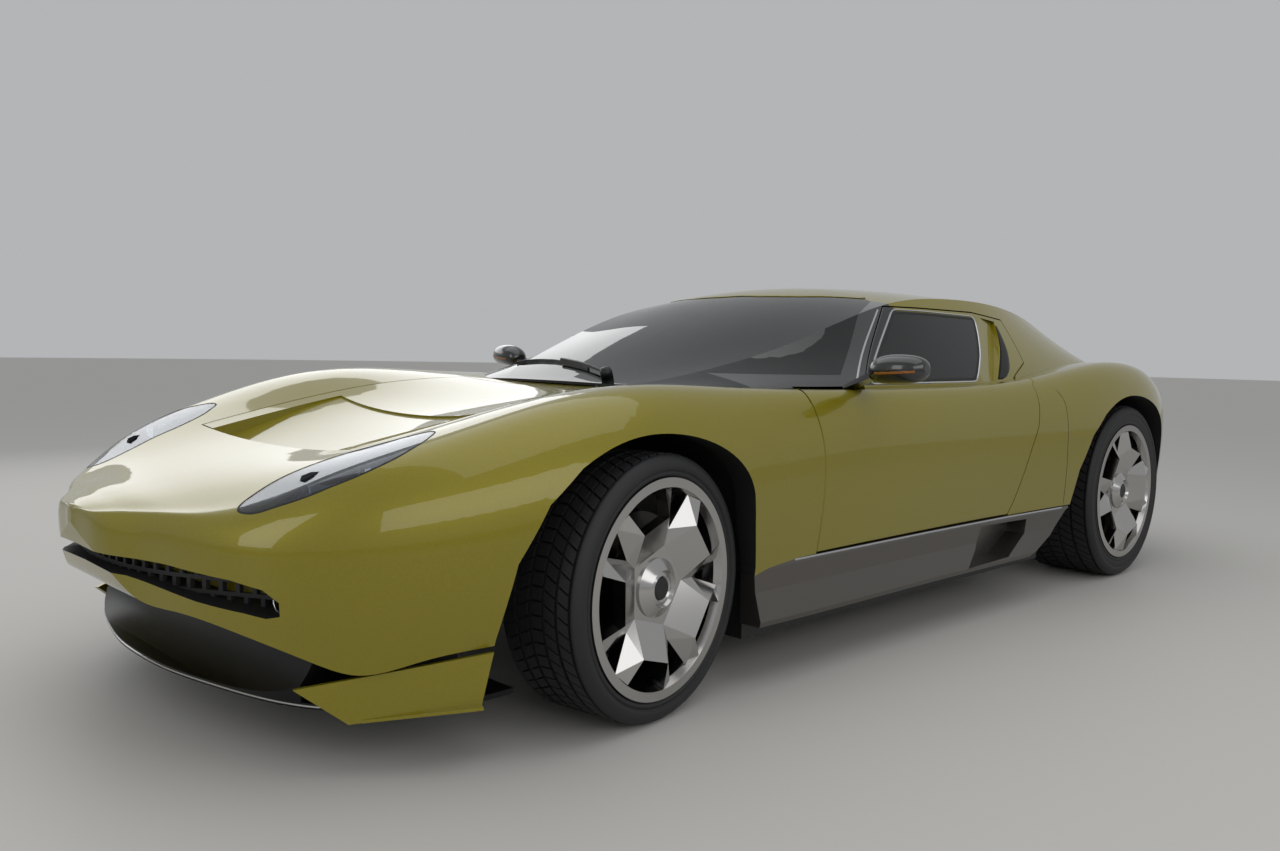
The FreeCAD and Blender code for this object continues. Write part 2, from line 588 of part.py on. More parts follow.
# Flat facets between those corners: the broad one inside the window, then each side of it
BROAD_FACET = [("foot", -1), ("foot", 1), ("brow", 1), ("brow", -1)]
SIDE_FACETS = [("foot", "brow", "apex"), ("brow", "valley", "apex"), ("brow", "rim", "valley")]


def wheel_face(face_y, turn):
    """Five broad folded spokes, each facet as thick as the next, round a five-sided hub."""
    def corner(name, side, index):
        radius, angle, height = WHEEL_CORNERS[name]
        angle = math.radians(turn + 72 * index + side * angle)
        return Vector(radius * math.sin(angle), face_y + height, radius * math.cos(angle))
    back = Vector(0, -size.spoke_thickness, 0)
    pieces = [polygon([corner("foot", 1, index) for index in range(5)]).extrude(back)]
    for index in range(5):
        pieces.append(polygon([corner(name, side, index) for name, side in BROAD_FACET]).extrude(back))
        for side in (1, -1):
            pieces += [polygon([corner(name, side, index) for name in names]).extrude(back)
                       for names in SIDE_FACETS]
    return pieces


@lru_cache(maxsize=None)
def wheel(width, face_y, turn):
    """One-piece wheel with its centre-lock nut, hub bore and the brake disc bolted to it."""
    seat, lip, wall = size.rim_seat_radius, size.rim_lip_radius, size.rim_wall
    outer, inner = face_y, face_y + 8 - width
    barrel = revolved([(lip, outer), (lip, outer - 11), (seat - 0.5, outer - 11.7), (seat - 0.5, inner + 11.7),
                       (lip, inner + 11), (lip, inner), (seat - wall, inner), (seat - wall - 6, face_y - 20),
                       (seat - 8, outer)])
    floor = face_y + WHEEL_CORNERS["foot"][2]
    hub_back = floor - size.spoke_thickness
    nut = revolved([(0, floor - 1), (size.nut_radius, floor - 1), (size.nut_radius, floor + 5),
                    (size.nut_ring_radius + 3, face_y - 6), (size.nut_ring_radius, face_y - 4),
                    (size.nut_ring_radius - 5, face_y - 12), (size.nut_bore + 4, face_y - 8),
                    (size.nut_bore, face_y - 11), (size.nut_bore, floor + 2), (0, floor + 2)])
    stub = size.stub_radius + size.running_clearance
    disc_back, disc_face = size.disc_y, size.disc_y + size.disc_thickness
    hat = revolved([(stub, disc_face + 10), (size.hub_radius, disc_face + 10), (size.hub_radius, hub_back + 2),
                    (0, hub_back + 2), (0, hub_back), (stub, hub_back)])
    bell = revolved([(size.hub_radius - 8, disc_face + 24), (size.hub_radius + 18, disc_face + 24),
                     (size.hub_radius + 18, disc_back), (size.hub_radius + 8, disc_back),
                     (size.hub_radius + 8, disc_face + 14), (size.hub_radius - 8, disc_face + 14)])
    disc = revolved([(size.hub_radius + 14, disc_back), (size.disc_radius, disc_back),
                     (size.disc_radius, disc_face), (size.hub_radius + 14, disc_face)])
    return single(barrel.fuse(wheel_face(face_y, turn) + [nut, hat, bell, disc]))


def knuckle():
    """Steering knuckle with its stub axle and brake caliper, at the origin with +Y outwards."""
    post = Part.makeCylinder(24, 178, Vector(0, 0, -89), UP)
    carrier = Part.makeCylinder(44, 44, Vector(0, -4, 0), Vector(0, 1, 0))
    stub = Part.makeCylinder(size.stub_radius, size.front_rim_face_y - 66, Vector(0, 0, 0), Vector(0, 1, 0))
    bracket = box(-150, 0, 6, 36, -30, 30)
    caliper = box(-222, -118, size.disc_y - 30, size.disc_y + size.disc_thickness + 22, -58, 58)
    caliper = caliper.common(Part.makeCylinder(226, 200, Vector(0, -50, 0), Vector(0, 1, 0)))
    slot = Part.makeCylinder(size.disc_radius + 6, size.disc_thickness + 10, Vector(0, size.disc_y - 5, 0),
                             Vector(0, 1, 0))
    return post.fuse([carrier, stub, bracket, caliper.cut(slot)])


FRONT_LEFT = Placement(Vector(size.front_axle_x, size.kingpin_y, size.front_tyre_radius),
                       Rotation(UP, size.steer_rest_angle))
FRONT_RIGHT = Placement(Vector(size.front_axle_x, -size.kingpin_y, size.front_tyre_radius),
                        Rotation(UP, size.steer_rest_angle))
REAR_LEFT = Placement(Vector(size.rear_axle_x, size.rear_hub_y, size.rear_tyre_radius), Rotation())
REAR_RIGHT = Placement(Vector(size.rear_axle_x, -size.rear_hub_y, size.rear_tyre_radius), Rotation())


def add_corner(tag, placement, right, radius, width, face_y, turn):
    """Tyre and wheel of one corner of the car."""
    for name, shape in (("tyre_" + tag, tyre(radius, width, face_y)), ("wheel_" + tag, wheel(width, face_y, turn))):
        add_node(name, mirrored(shape) if right else shape, placement)


def arm(low_y, high_y, eye_x, eye_y, low_z, thickness, spread, eye_radius):
    """A wishbone from two feet on the car's side to one eye at the wheel."""
    plan = [(eye_x + spread, low_y), (eye_x + spread - 36, low_y), (eye_x, eye_y - 60),
            (eye_x - spread + 36, low_y), (eye_x - spread, low_y), (eye_x - 22, eye_y), (eye_x + 22, eye_y)]
    wishbone = prism_plan(plan, low_z, low_z + thickness)
    return wishbone.fuse(Part.makeCylinder(eye_radius, thickness, Vector(eye_x, eye_y, low_z), UP))


def front_suspension():
    """Crossmember with lower wishbones, and the upper wishbones that stand on the well walls."""
    x, z = size.front_axle_x, size.front_tyre_radius
    beam = box(x - 110, x + 110, -420, 420, 190, 330).cut(BODY)
    lower = arm(415, 0, x, size.kingpin_y, z - 89 - 22 - size.running_clearance, 22, 95, 28)
    upper = arm(size.front_well_y, 0, x, size.kingpin_y, z + 89 + size.running_clearance, 20, 85, 28)
    shape = beam.fuse(both_sides(lower))
    return Part.makeCompound(shape.Solids + both_sides(upper))


def rear_suspension():
    """Subframe, wishbones, uprights and drive shafts of the rear axle."""
    x, z, hub = size.rear_axle_x, size.rear_tyre_radius, size.rear_hub_y
    beam = box(x - 90, x + 90, -480, 480, 155, size.engine_z)
    second = box(-1000, -900, -480, 480, 155, size.engine_z)
    rails = [box(x - 90, size.bay_front_x, side * 455 - 25, side * 455 + 25,
                 size.floor_z + size.floor_thickness, 330).cut(BODY) for side in (1, -1)]
    lower = arm(470, 0, x, hub - 20, 160, 24, 120, 30)
    upper = arm(size.rear_well_y, 0, x, hub - 20, z + 110, 22, 80, 30)
    post = box(x - 30, x + 30, hub - 45, hub + 5, 184, z + 110)
    out = Vector(0, 1, 0)
    carrier = Part.makeCylinder(50, 60, Vector(x, hub - 20, z), out)
    stub = Part.makeCylinder(size.stub_radius, size.rear_rim_face_y - 46, Vector(x, hub - 20, z), out)
    gearbox_y = size.engine_width / 2
    shaft = Part.makeCylinder(20, hub - 20 - gearbox_y, Vector(x, gearbox_y, z), out)
    disc_low, disc_high = hub + size.disc_y, hub + size.disc_y + size.disc_thickness
    caliper = box(x - 222, x - 118, disc_low - 30, disc_high + 22, z - 58, z + 58)
    slot = Part.makeCylinder(size.disc_radius + 6, size.disc_thickness + 10, Vector(x, disc_low - 5, z), out)
    bracket = box(x - 150, x, hub + 6, hub + 36, z - 30, z + 30)
    left = lower.fuse([upper, post, carrier, stub, shaft, caliper.cut(slot), bracket])
    return beam.fuse([second] + rails + both_sides(left))


def floor_pan():
    """Floor of the cabin with its side boxes, end walls, tunnel and jacking pads."""
    low, top = size.floor_z, size.floor_z + size.floor_thickness
    front, rear, half = size.floor_front_x, size.floor_rear_x, size.floor_half_width
    plate = box(rear, front, -half, half, low, top)
    wall_top = size.floor_wall_z
    side_box = box(size.cabin_rear_x, size.footwell_front_x, size.cabin_half_width, half, top, wall_top)
    wall_front = box(size.footwell_front_x, front, -half, half, top, wall_top)
    wall_rear = box(size.cabin_rear_x - size.wall_thickness, size.cabin_rear_x, -half, half, top, wall_top)
    tunnel = box(size.cabin_rear_x, size.footwell_front_x, -size.tunnel_half_width, size.tunnel_half_width,
                 top, top + size.tunnel_height)
    pads = [box(x - 45, x + 45, 690, 750, low - size.pad_height, low) for x in (600, -560)]
    shape = plate.fuse(both_sides(side_box) + [wall_front, wall_rear, tunnel])
    for pad in pads:
        shape = shape.fuse(both_sides(pad))
    shape = shape.cut([BODY.cut([CABIN_SPACE, FOOT_SPACE])] + both_sides(FRONT_WELL))
    return single(shape)


# Side view outline of the brake air inlet in the sill as (x, z)
SILL_INLET = [(-318, 316), (-630, 312), (-612, 262), (-480, 194), (-205, 188), (-272, 244)]


def sill():
    """Left sill blade under the door, wider at its foot, with the air inlet ahead of the rear wheel."""
    half, top_z = size.floor_half_width, size.sill_top_z
    stations = [(960, 838, 866, 172), (600, 842, 872, 172), (0, 845, 874, 174), (-500, 856, 882, 174),
                (-940, 880, 896, 176)]
    wires = []
    for x, top_y, foot_y, foot_z in stations:
        corners = [Vector(x, half, top_z), Vector(x, top_y, top_z), Vector(x, top_y + 4, top_z - 12),
                   Vector(x, top_y + 8, top_z - 70), Vector(x, foot_y, foot_z + 14), Vector(x, foot_y - 4, foot_z),
                   Vector(x, half, foot_z)]
        wires.append(Part.makePolygon(corners + corners[:1]))
    blade = Part.makeLoft(wires, True, True)
    rear_cut = prism_side([(-625, 100), (-640, 176), (-790, 236), (-915, 320), (-1000, 345), (-1000, 100)], 700, 1000)
    inlet = prism_side(SILL_INLET, half + size.sill_wall, 1000)
    bodies = [BODY.common(box(594, 2400, -1000, 1000, 0, 1200)),
              BODY.common(box(-2400, size.rear_body_front_x, -1000, 1000, 0, 1200))]
    return single(blade.cut(bodies + [FRONT_WELL, rear_cut, inlet]))


# Plan view of the splitter's lip, and the two ends of the corner blade that closes it, as (x, y)
SPLITTER_HALF = [(2150, 0), (2143, 150), (2112, 330), (2075, 480), (2030, 590), (1940, 700), (1760, 800)]
WINGLET_ENDS = [(2062, 592), (1738, 806)]
# Corner blade as (distance along it from its front end, z)
WINGLET_OUTLINE = [(9, 197), (224, 230), (419, 261), (393, 143), (120, 119)]


def splitter():
    """Front splitter: a lip, and the black tray that curves up from it to the nose."""
    curve = Part.BSplineCurve()
    curve.interpolate([Vector(x, -y, 0) for x, y in reversed(SPLITTER_HALF[1:])] +
                      [Vector(x, y, 0) for x, y in SPLITTER_HALF])
    ends = [Vector(1760, 800, 0), Vector(1640, 800, 0), Vector(1640, -800, 0), Vector(1760, -800, 0)]
    plan = Part.Face(Part.Wire([curve.toShape(), Part.makePolygon(ends)])).extrude(Vector(0, 0, 600))
    z, lip = size.splitter_z, size.splitter_lip
    rise = bezier([Vector(2110, -900, z + lip), Vector(2040, -900, z + lip + 6), Vector(1985, -900, 220),
                   Vector(1970, -900, 400)])
    rest = [(1970, 400), (1640, 400), (1640, z), (2200, z), (2200, z + lip), (2110, z + lip)]
    side = Part.Wire([rise, Part.makePolygon([Vector(x, -900, z) for x, z in rest])])
    tray = Part.Face(side).extrude(Vector(0, 1800, 0)).common(plan)
    flanks = both_sides(prism_plan([(1500, 585), (2300, 585), (2300, 1000), (1500, 1000)], z + lip, 600))
    return single(tray.cut([BODY] + flanks + both_sides(winglet_side(size.seat_gap))))


def winglet_frame():
    """Front end of the left corner blade, the direction along it, and the direction outwards."""
    start, end = [Vector(x, y, 0) for x, y in WINGLET_ENDS]
    along = (end - start) / (end - start).Length
    return start, along, Vector(along.y, -along.x, 0)


def winglet_side(gap):
    """Everything outside the blade's inner face, moved inwards by the gap."""
    start, along, out = winglet_frame()
    corners = [start - along * 500 - out * gap, start + along * 900 - out * gap,
               start + along * 900 + out * 900, start - along * 500 + out * 900]
    return polygon(corners).extrude(Vector(0, 0, 600))


def winglet():
    """Left corner blade that closes the splitter's end, with a foot turned out along its lower edge."""
    start, along, out = winglet_frame()
    corners = [start + along * s + Vector(0, 0, z) for s, z in WINGLET_OUTLINE]
    blade = polygon(corners).extrude(out * size.winglet_thickness)
    rear, front = corners[3], corners[4]
    edge = (rear - front) / (rear - front).Length
    foot = polygon([front, rear, rear + edge * 4 + out * size.winglet_foot, front + edge * 30 + out * 14])
    return blade.fuse(foot.extrude(Vector(0, 0, 7))).cut(BODY)


def duct(radius, length):
    """Left round duct in the corner of the mouth, centred lengthwise on its place."""
    x, y, z = DUCT_PLACE
    return Part.makeCylinder(radius, length, Vector(x - length / 2, y, z), Vector(1, 0, 0))


def nose_grille():
    """Mesh panel set back in the mouth, with a round duct at each corner."""
    bar, pitch, row_height = size.grille_bar, 36, 30
    opening = prism_front(MOUTH_HALF, 1900, 2400)
    plate = plan_band(0, size.grille_plate, 300, 500).common(opening)
    openings = []
    for row in range(3):
        for column in range(16):
            y = column * pitch + (pitch / 2 if row % 2 else 0)
            z = 350 + row * row_height
            openings.append(box(1900, 2400, y + bar / 2, y + pitch - bar / 2, z, z + row_height - bar))
    tube = duct(size.duct_radius, size.duct_length)
    bore = duct(size.duct_radius - size.duct_wall, 2 * size.duct_length)
    half = plate.cut(openings).fuse(tube).cut(bore).common(opening)
    return half.fuse(mirrored(half))


def lamp_column():
    """Upright column over the headlight's outline, above the mouth."""
    return smooth_prism_plan(LAMP_OUTLINE, size.lamp_low_z, 900)


def lamp_cover():
    """Clear cover flush with the wing."""
    skin = BODY.cut(body_solid(size.lamp_cover))
    return skin.common(lamp_column())


def lamp_unit():
    """Black housing with two round projectors on the floor of the recess."""
    deep = body_solid(size.lamp_recess)
    floor = body_solid(size.lamp_recess - 12).cut(deep)
    shape = floor.common(lamp_column())
    for x, y, z, radius in ((1985, 535, 590, 30), (1870, 582, 634, 29)):
        barrel = Part.makeCylinder(radius, 70, Vector(x - 60, y, z - 14), Vector(1, 0, 0.1)).cut(deep)
        shape = shape.fuse(barrel)
    return single(shape.common(body_solid(size.lamp_cover + 2)).common(lamp_column()))


def tail_grille():
    """Black mesh panel across the tail."""
    front = -2290 + size.tail_panel_depth
    plate = box(front - 8, front, -518, 518, 472, 733)
    slots = []
    for row in range(5):
        for column in range(-9, 9):
            y = column * 36 + 4
            z = 486 + row * 49
            slots.append(box(-2400, -2200, y, y + 28, z, z + 38))
    return plate.cut(slots)


def tail_lamp():
    """Left tail lamp: a rounded block of red lens."""
    front = -2290 + size.tail_panel_depth - 8
    lamp = box(front - 26, front, 352, 508, 560, 650)
    return lamp.makeFillet(22, [e for e in lamp.Edges if abs(e.tangentAt(e.FirstParameter).x) > 0.9])


def diffuser():
    """Upswept underfloor behind the rear axle, with upright fins."""
    side = [(-1870, 150), (-2265, 236), (-2265, 330), (-2240, 400), (-1960, 400), (-1870, 300)]
    block = prism_side(side, -600, 600).cut(BODY)
    lower = prism_side([(-1870, 150), (-2265, 150), (-2265, 236)], -600, 600)
    fins = [lower.common(box(-2400, -1800, y - size.diffuser_fin / 2, y + size.diffuser_fin / 2, 0, 600))
            for y in (-560, -340, -120, 120, 340, 560)]
    return block.fuse(fins)


def seat(side):
    """Bucket seat: cushion and back in one upholstered form."""
    base_z = size.floor_z + size.floor_thickness + size.seat_gap
    outline = [(80, base_z), (110, 330), (90, 362), (-60, 330), (-330, 292), (-400, 360), (-500, 700), (-545, 860),
               (-585, 880), (-610, 850), (-560, 620), (-520, base_z)]
    base = prism_side(outline, 130, 590)
    dish = prism_side([(100, 400), (90, 335), (-60, 300), (-310, 264), (-375, 340), (-480, 700), (-530, 880),
                       (-300, 900), (200, 700)], 210, 510)
    shape = base.cut(dish)
    return shape if side > 0 else mirrored(shape)


STEERING_PLACE = Placement(Vector(262, 360, 690), Rotation(Vector(0, 1, 0), 68))


def dashboard():
    """Dashboard under the screen, with a hood over the instruments on the driver's side."""
    outline = [(619, 570), (619, 778), (560, 786), (450, 760), (415, 715), (430, 640), (500, 590)]
    panel = prism_side(outline, -690, 690)
    hood = prism_side([(560, 780), (520, 812), (440, 800), (395, 740), (440, 740)], 220, 500)
    sleeve = Part.makeCylinder(size.column_radius + size.seat_gap, size.column_length + size.shut_gap)
    sleeve.Placement = STEERING_PLACE
    return panel.fuse(hood).cut(sleeve)


def exhaust_tip_pair():
    """Two round tail pipes side by side under the tail."""
    tips = []
    for side in (1, -1):
        start = Vector(-2145, side * size.exhaust_y, size.exhaust_z)
        outer = Part.makeCylinder(size.exhaust_radius, size.exhaust_length, start, Vector(-1, 0, 0))
        inner = Part.makeCylinder(size.exhaust_radius - size.exhaust_wall, size.exhaust_length - 20,
                                  start + Vector(-20, 0, 0), Vector(-1, 0, 0))
        tips.append(outer.cut(inner))
    return tips


def bound(object_, **expressions):
    """Tie an object's sizes to the sheet."""
    for prop, text in expressions.items():
        object_.setExpression(prop.replace("__", "."), text.replace("@", "dimensions."))


# Engine: one plain block at its real place
engine = doc.addObject("Part::Box", "engine_block")
engine.Label = "engine_block"
bound(engine, Length="@engine_length", Width="@engine_width", Height="@engine_height")
engine.setExpression("Placement.Base.x", "dimensions.engine_front_x - dimensions.engine_length")
engine.setExpression("Placement.Base.y", "-dimensions.engine_width / 2")
engine.setExpression("Placement.Base.z", "dimensions.engine_z")
nodes.append(engine)

# Steering wheel: rim, boss, three spokes and the column into the dashboard
rim = doc.addObject("Part::Torus", "steering_rim")
bound(rim, Radius1="@rim_ring_radius")
rim.Radius2 = 14
boss = doc.addObject("Part::Cylinder", "steering_boss")
boss.Radius, boss.Height = 42, 40
boss.Placement.Base = Vector(0, 0, -20)
column = doc.addObject("Part::Cylinder", "steering_column")
bound(column, Radius="@column_radius", Height="@column_length")
pieces = [rim, boss, column]
for index, angle in enumerate((0, 180, 270)):
    spoke = doc.addObject("Part::Box", "steering_spoke_%d" % index)
    spoke.Length, spoke.Width, spoke.Height = 150, 30, 12
    spoke.Placement = Placement(Vector(0, 0, 0), Rotation(UP, angle)) * Placement(Vector(30, -15, -6), Rotation())
    pieces.append(spoke)
steering = doc.addObject("Part::MultiFuse", "steering_wheel")
steering.Label = "steering_wheel"
steering.Shapes = pieces
steering.Placement = STEERING_PLACE
nodes.append(steering)

add_node("front_body", front_body())
add_node("rear_body", rear_body())
add_node("roof", roof())
add_node("windscreen_pillars", pillars())
add_node("windscreen", windscreen())
add_node("floor_pan", floor_pan())
add_node("sills", Part.makeCompound(both_sides(sill())))
add_node("splitter", splitter())
add_node("winglets", Part.makeCompound(both_sides(winglet())))
add_node("nose_grille", nose_grille())
add_node("headlight_covers", Part.makeCompound(both_sides(lamp_cover())))
add_node("headlight_units", Part.makeCompound(both_sides(lamp_unit())))
add_node("tail_grille", tail_grille())
add_node("tail_lamps", Part.makeCompound(both_sides(tail_lamp())))
add_node("diffuser", diffuser())
add_node("exhaust_tips", Part.makeCompound(exhaust_tip_pair()))
add_node("dashboard", dashboard())
add_node("seat_left", seat(1))
add_node("seat_right", seat(-1))
add_node("front_suspension", front_suspension())
add_node("rear_suspension", rear_suspension())
add_node("bonnet", bonnet())
add_node("engine_lid", engine_lid())
for name, make in (("door", door), ("door_glass", door_glass), ("scoop", scoop), ("mirror", mirror)):
    shape = make()
    add_node(name + "_left", shape)
    add_node(name + "_right", mirrored(shape))
hub = knuckle()
add_node("knuckle_left", hub, FRONT_LEFT)
add_node("knuckle_right", mirrored(hub), FRONT_RIGHT)
for tag, placement, right in (("left", FRONT_LEFT, False), ("right", FRONT_RIGHT, True)):
    add_corner("front_" + tag, placement, right, size.front_tyre_radius, size.front_tyre_width,
               size.front_rim_face_y, size.front_wheel_turn)
for tag, placement, right in (("left", REAR_LEFT, False), ("right", REAR_RIGHT, True)):
    add_corner("rear_" + tag, placement, right, size.rear_tyre_radius, size.rear_tyre_width,
               size.rear_rim_face_y, size.rear_wheel_turn)

doc.recompute()
for item in doc.Objects:
    if {"Invalid", "Error"} & set(item.State):
        raise RuntimeError("%s is %s" % (item.Label, item.State))
for node in nodes:
    if node.Shape.isNull() or not node.Shape.isValid():
        raise RuntimeError("%s has no valid shape" % node.Label)
for node in nodes:
    node.Shape.exportStep("parts/%s.step" % node.Label)
    print("%-20s solids %d  volume %9.1f cm3" % (node.Label, len(node.Shape.Solids), node.Shape.Volume / 1000))
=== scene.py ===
import bmesh
import bpy
import json
import math
from mathutils import Matrix, Vector
from mathutils.bvhtree import BVHTree


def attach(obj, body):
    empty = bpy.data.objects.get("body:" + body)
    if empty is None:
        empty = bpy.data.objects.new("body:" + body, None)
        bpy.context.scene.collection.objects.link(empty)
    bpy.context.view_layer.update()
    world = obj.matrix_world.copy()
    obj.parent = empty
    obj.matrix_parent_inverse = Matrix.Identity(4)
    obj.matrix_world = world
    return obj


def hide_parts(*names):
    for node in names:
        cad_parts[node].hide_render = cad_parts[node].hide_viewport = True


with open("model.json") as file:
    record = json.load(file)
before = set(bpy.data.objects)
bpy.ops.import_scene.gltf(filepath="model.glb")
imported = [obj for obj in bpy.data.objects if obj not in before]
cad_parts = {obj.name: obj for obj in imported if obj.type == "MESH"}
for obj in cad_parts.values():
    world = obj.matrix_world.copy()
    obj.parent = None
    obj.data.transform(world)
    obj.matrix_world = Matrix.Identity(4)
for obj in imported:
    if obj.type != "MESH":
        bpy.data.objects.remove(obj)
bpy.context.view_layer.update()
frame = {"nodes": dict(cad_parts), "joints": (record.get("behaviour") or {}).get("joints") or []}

# Camera
# The photograph was taken at chest height from ahead of the front left wheel. The place, turn and
# lens come from the ellipses of the two wheel rims and the tyres' contact points.
CAMERA_PLACE = Vector((3.0628, 2.6390, 0.9226))
CAMERA_YAW, CAMERA_PITCH, CAMERA_ROLL = math.radians(-134.322), math.radians(-4.423), math.radians(1.062)
LENS_MM, SENSOR_MM = 30.187, 36.0


def link_object(name, data):
    """A new object with this data, in the scene."""
    item = bpy.data.objects.new(name, data)
    bpy.context.scene.collection.objects.link(item)
    return item


level = math.cos(CAMERA_PITCH)
forward = Vector((level * math.cos(CAMERA_YAW), level * math.sin(CAMERA_YAW), math.sin(CAMERA_PITCH)))
level_right = forward.cross(Vector((0, 0, 1))).normalized()
level_up = level_right.cross(forward)
right = math.cos(CAMERA_ROLL) * level_right + math.sin(CAMERA_ROLL) * level_up
up = math.cos(CAMERA_ROLL) * level_up - math.sin(CAMERA_ROLL) * level_right
camera = link_object("camera", bpy.data.cameras.new("camera"))
camera.data.lens, camera.data.sensor_width = LENS_MM, SENSOR_MM
camera.matrix_world = Matrix((right, up, -forward)).transposed().to_4x4()
camera.location = CAMERA_PLACE
bpy.context.scene.camera = camera

# Floor and studio light
# A plain pale floor under a soft overhead light box, with a long strip on each side that draws one
# quiet highlight along the car. The room's own level is set so that a colour renders as written.
FLOOR_RADIUS = 40.0
FLOOR_COLOUR, ROOM_COLOUR = "#c2c0bc", "#f4f6f8"
WORLD_LIGHT, WORLD_SHOWN = 0.56, 0.50
MATH, VECTOR = "ShaderNodeMath", "ShaderNodeVectorMath"
# name, place, point it faces, width, length, power in watts
LIGHTS = [
    ("overhead_box", (0.3, 0.0, 4.6), (0.0, 0.0, 0.0), 4.0, 8.0, 70),
    ("left_strip", (1.5, 5.5, 2.6), (0.0, 0.0, 0.5), 2.0, 7.0, 60),
    ("right_strip", (0.0, -5.5, 2.8), (0.0, 0.0, 0.5), 2.0, 7.0, 55),
    ("nose_strip", (6.5, 0.5, 2.6), (1.5, 0.0, 0.5), 3.6, 1.6, 30),
]


def linear(hex_colour, alpha=1.0):
    """An sRGB hex colour as Blender's linear values."""
    values = [int(hex_colour[i:i + 2], 16) / 255 for i in (1, 3, 5)]
    return [v / 12.92 if v <= 0.04045 else ((v + 0.055) / 1.055) ** 2.4 for v in values] + [alpha]


def add(tree, kind, settings=None, *values):
    """Add a node: settings name properties and inputs, values fill the first inputs, sockets are linked."""
    node = tree.nodes.new(kind)
    for key, value in [*(settings or {}).items(), *enumerate(values)]:
        if isinstance(value, bpy.types.NodeSocket):
            tree.links.new(value, node.inputs[key])
        elif isinstance(key, int) or key in node.inputs:
            node.inputs[key].default_value = value
        else:
            setattr(node, key, value)
    return node


def new_material(name):
    """An empty node material, with its output node ready."""
    material = bpy.data.materials.new(name)
    material.use_nodes = True
    material.node_tree.nodes.clear()
    return material, material.node_tree, material.node_tree.nodes.new("ShaderNodeOutputMaterial")


def shader(name, colour, settings):
    """A material of one Principled shader; returns the material, its tree and the shader."""
    material, tree, output = new_material(name)
    surface = add(tree, "ShaderNodeBsdfPrincipled", {"Base Color": linear(colour), **settings})
    tree.links.new(surface.outputs[0], output.inputs["Surface"])
    return material, tree, surface


floor = link_object("floor", bpy.data.meshes.new("floor"))
form = bmesh.new()
bmesh.ops.create_circle(form, cap_ends=True, segments=96, radius=FLOOR_RADIUS)
form.to_mesh(floor.data)
form.free()
# matt grey paint: a soft shadow and no mirror image
floor_paint = shader("painted_floor", FLOOR_COLOUR, {"Roughness": 0.55, "Specular IOR Level": 0.3})[0]
floor.data.materials.append(floor_paint)

world = bpy.data.worlds.new("studio")
world.use_nodes = True
tree = world.node_tree
tree.nodes.clear()
rays = add(tree, "ShaderNodeLightPath").outputs
shown = add(tree, MATH, {"operation": "MAXIMUM"}, rays["Is Camera Ray"], rays["Is Glossy Ray"])
shown = add(tree, MATH, {"operation": "MAXIMUM"}, shown.outputs[0], rays["Is Transmission Ray"])
strength = add(tree, "ShaderNodeMapRange", {"To Min": WORLD_LIGHT, "To Max": WORLD_SHOWN}, shown.outputs[0])
sky = add(tree, "ShaderNodeBackground", {}, linear(ROOM_COLOUR), strength.outputs[0])
add(tree, "ShaderNodeOutputWorld", {}, sky.outputs[0])
bpy.context.scene.world = world
bpy.context.scene.view_settings.view_transform = "Standard"

for name, place, target, width, length, power in LIGHTS:
    lamp = link_object(name, bpy.data.lights.new(name, "AREA"))
    lamp.data.shape, lamp.data.size, lamp.data.size_y, lamp.data.energy = "RECTANGLE", length, width, power
    lamp.location = place
    lamp.rotation_euler = (Vector(target) - Vector(place)).to_track_quat("-Z", "Y").to_euler()

# Painted body
# The panels are composite and aluminium mouldings, sprayed in a lime-olive metallic base coat under clear
# lacquer. Where they face the wheels, the cabin, the luggage tub and the engine they are satin black.
# Behind each door scoop's vane the same black is painted shade, standing for the dark of the open inlet.
PAINT_COLOUR, PAINT_SHADE = "#8b800b", "#7f7507"
UNDERSEAL_AND_SHADE_COLOUR, GLOSS_BLACK = "#121212", "#0b0b0c"
FLAKE_MM = 1.6          # aluminium flakes are under 0.1 mm; drawn as coarse as they need to show
PEEL_MM = 11.0          # lacquer flows out in waves of about this size
UNDERSEAL_GRAIN_MM = 2.5
# axle's x and z, radius of the well
WELLS = [((1.230, 0.329), 0.405), ((-1.430, 0.350), 0.415)]
WELL_SKIN_Y, WELL_CEILING = 0.792, 0.4     # the skin beyond this y, or facing up more than this, is painted
WELL_REACH, WELL_FACING = 0.56, 0.20       # walls this near an axle that face it are lined too
# walls that face inwards are black behind this x and above this z, and so is all that faces down above 0.52 m
CABIN_FRONT_X, SILL_TOP_Z, UNDERSIDE_Z = 0.62, 0.36, 0.52
# limits on the normal: inwards and down, and for the mouth how far it may point along the car
FACES_INWARDS, FACES_DOWN, FACES_ALONG = -0.25, -0.30, 0.3
# lowest and highest corner of the spaces that the panels line in black
LINED_SPACES = [
    ((-0.625, -0.705, 0.0), (0.625, 0.705, 0.80)),
    ((0.60, -0.665, 0.0), (0.865, 0.665, 0.562)),
    ((0.90, -0.375, 0.30), (1.795, 0.375, 0.585)),
    ((-1.965, -0.445, 0.0), (-0.715, 0.445, 0.795)),
    ((-0.880, -0.600, 0.500), (-0.300, 0.600, 1.020)),
    ((0.760, -0.710, 0.0), (1.720, 0.710, 0.540)),
    ((-1.950, -0.710, 0.0), (-0.900, 0.710, 0.600)),
    ((-2.256, -0.521, 0.469), (-2.200, 0.521, 0.736)),
]
# the pocket behind the nose mesh; only its floor and ceiling, because the skin faces forwards
MOUTH_SPACE = ((1.90, -0.62, 0.330), (2.275, 0.62, 0.455))
# on the doors: the frame ahead of the window, lacquered black, and the space behind the scoop's vane,
# which is black as painted shade of the open inlet
BLACK_FRAME = ((-0.13, -1.0, 0.803), (0.60, 1.0, 1.20))
INLET_SHADE_SPACE = ((-0.84, -1.0, 0.806), (-0.60, 1.0, 1.03))
# the shares of y and z that measure outwards across the scoop, and where its painted skin begins
INLET_OUTWARDS, INLET_SKIN = (0.89, 0.46), 1.017


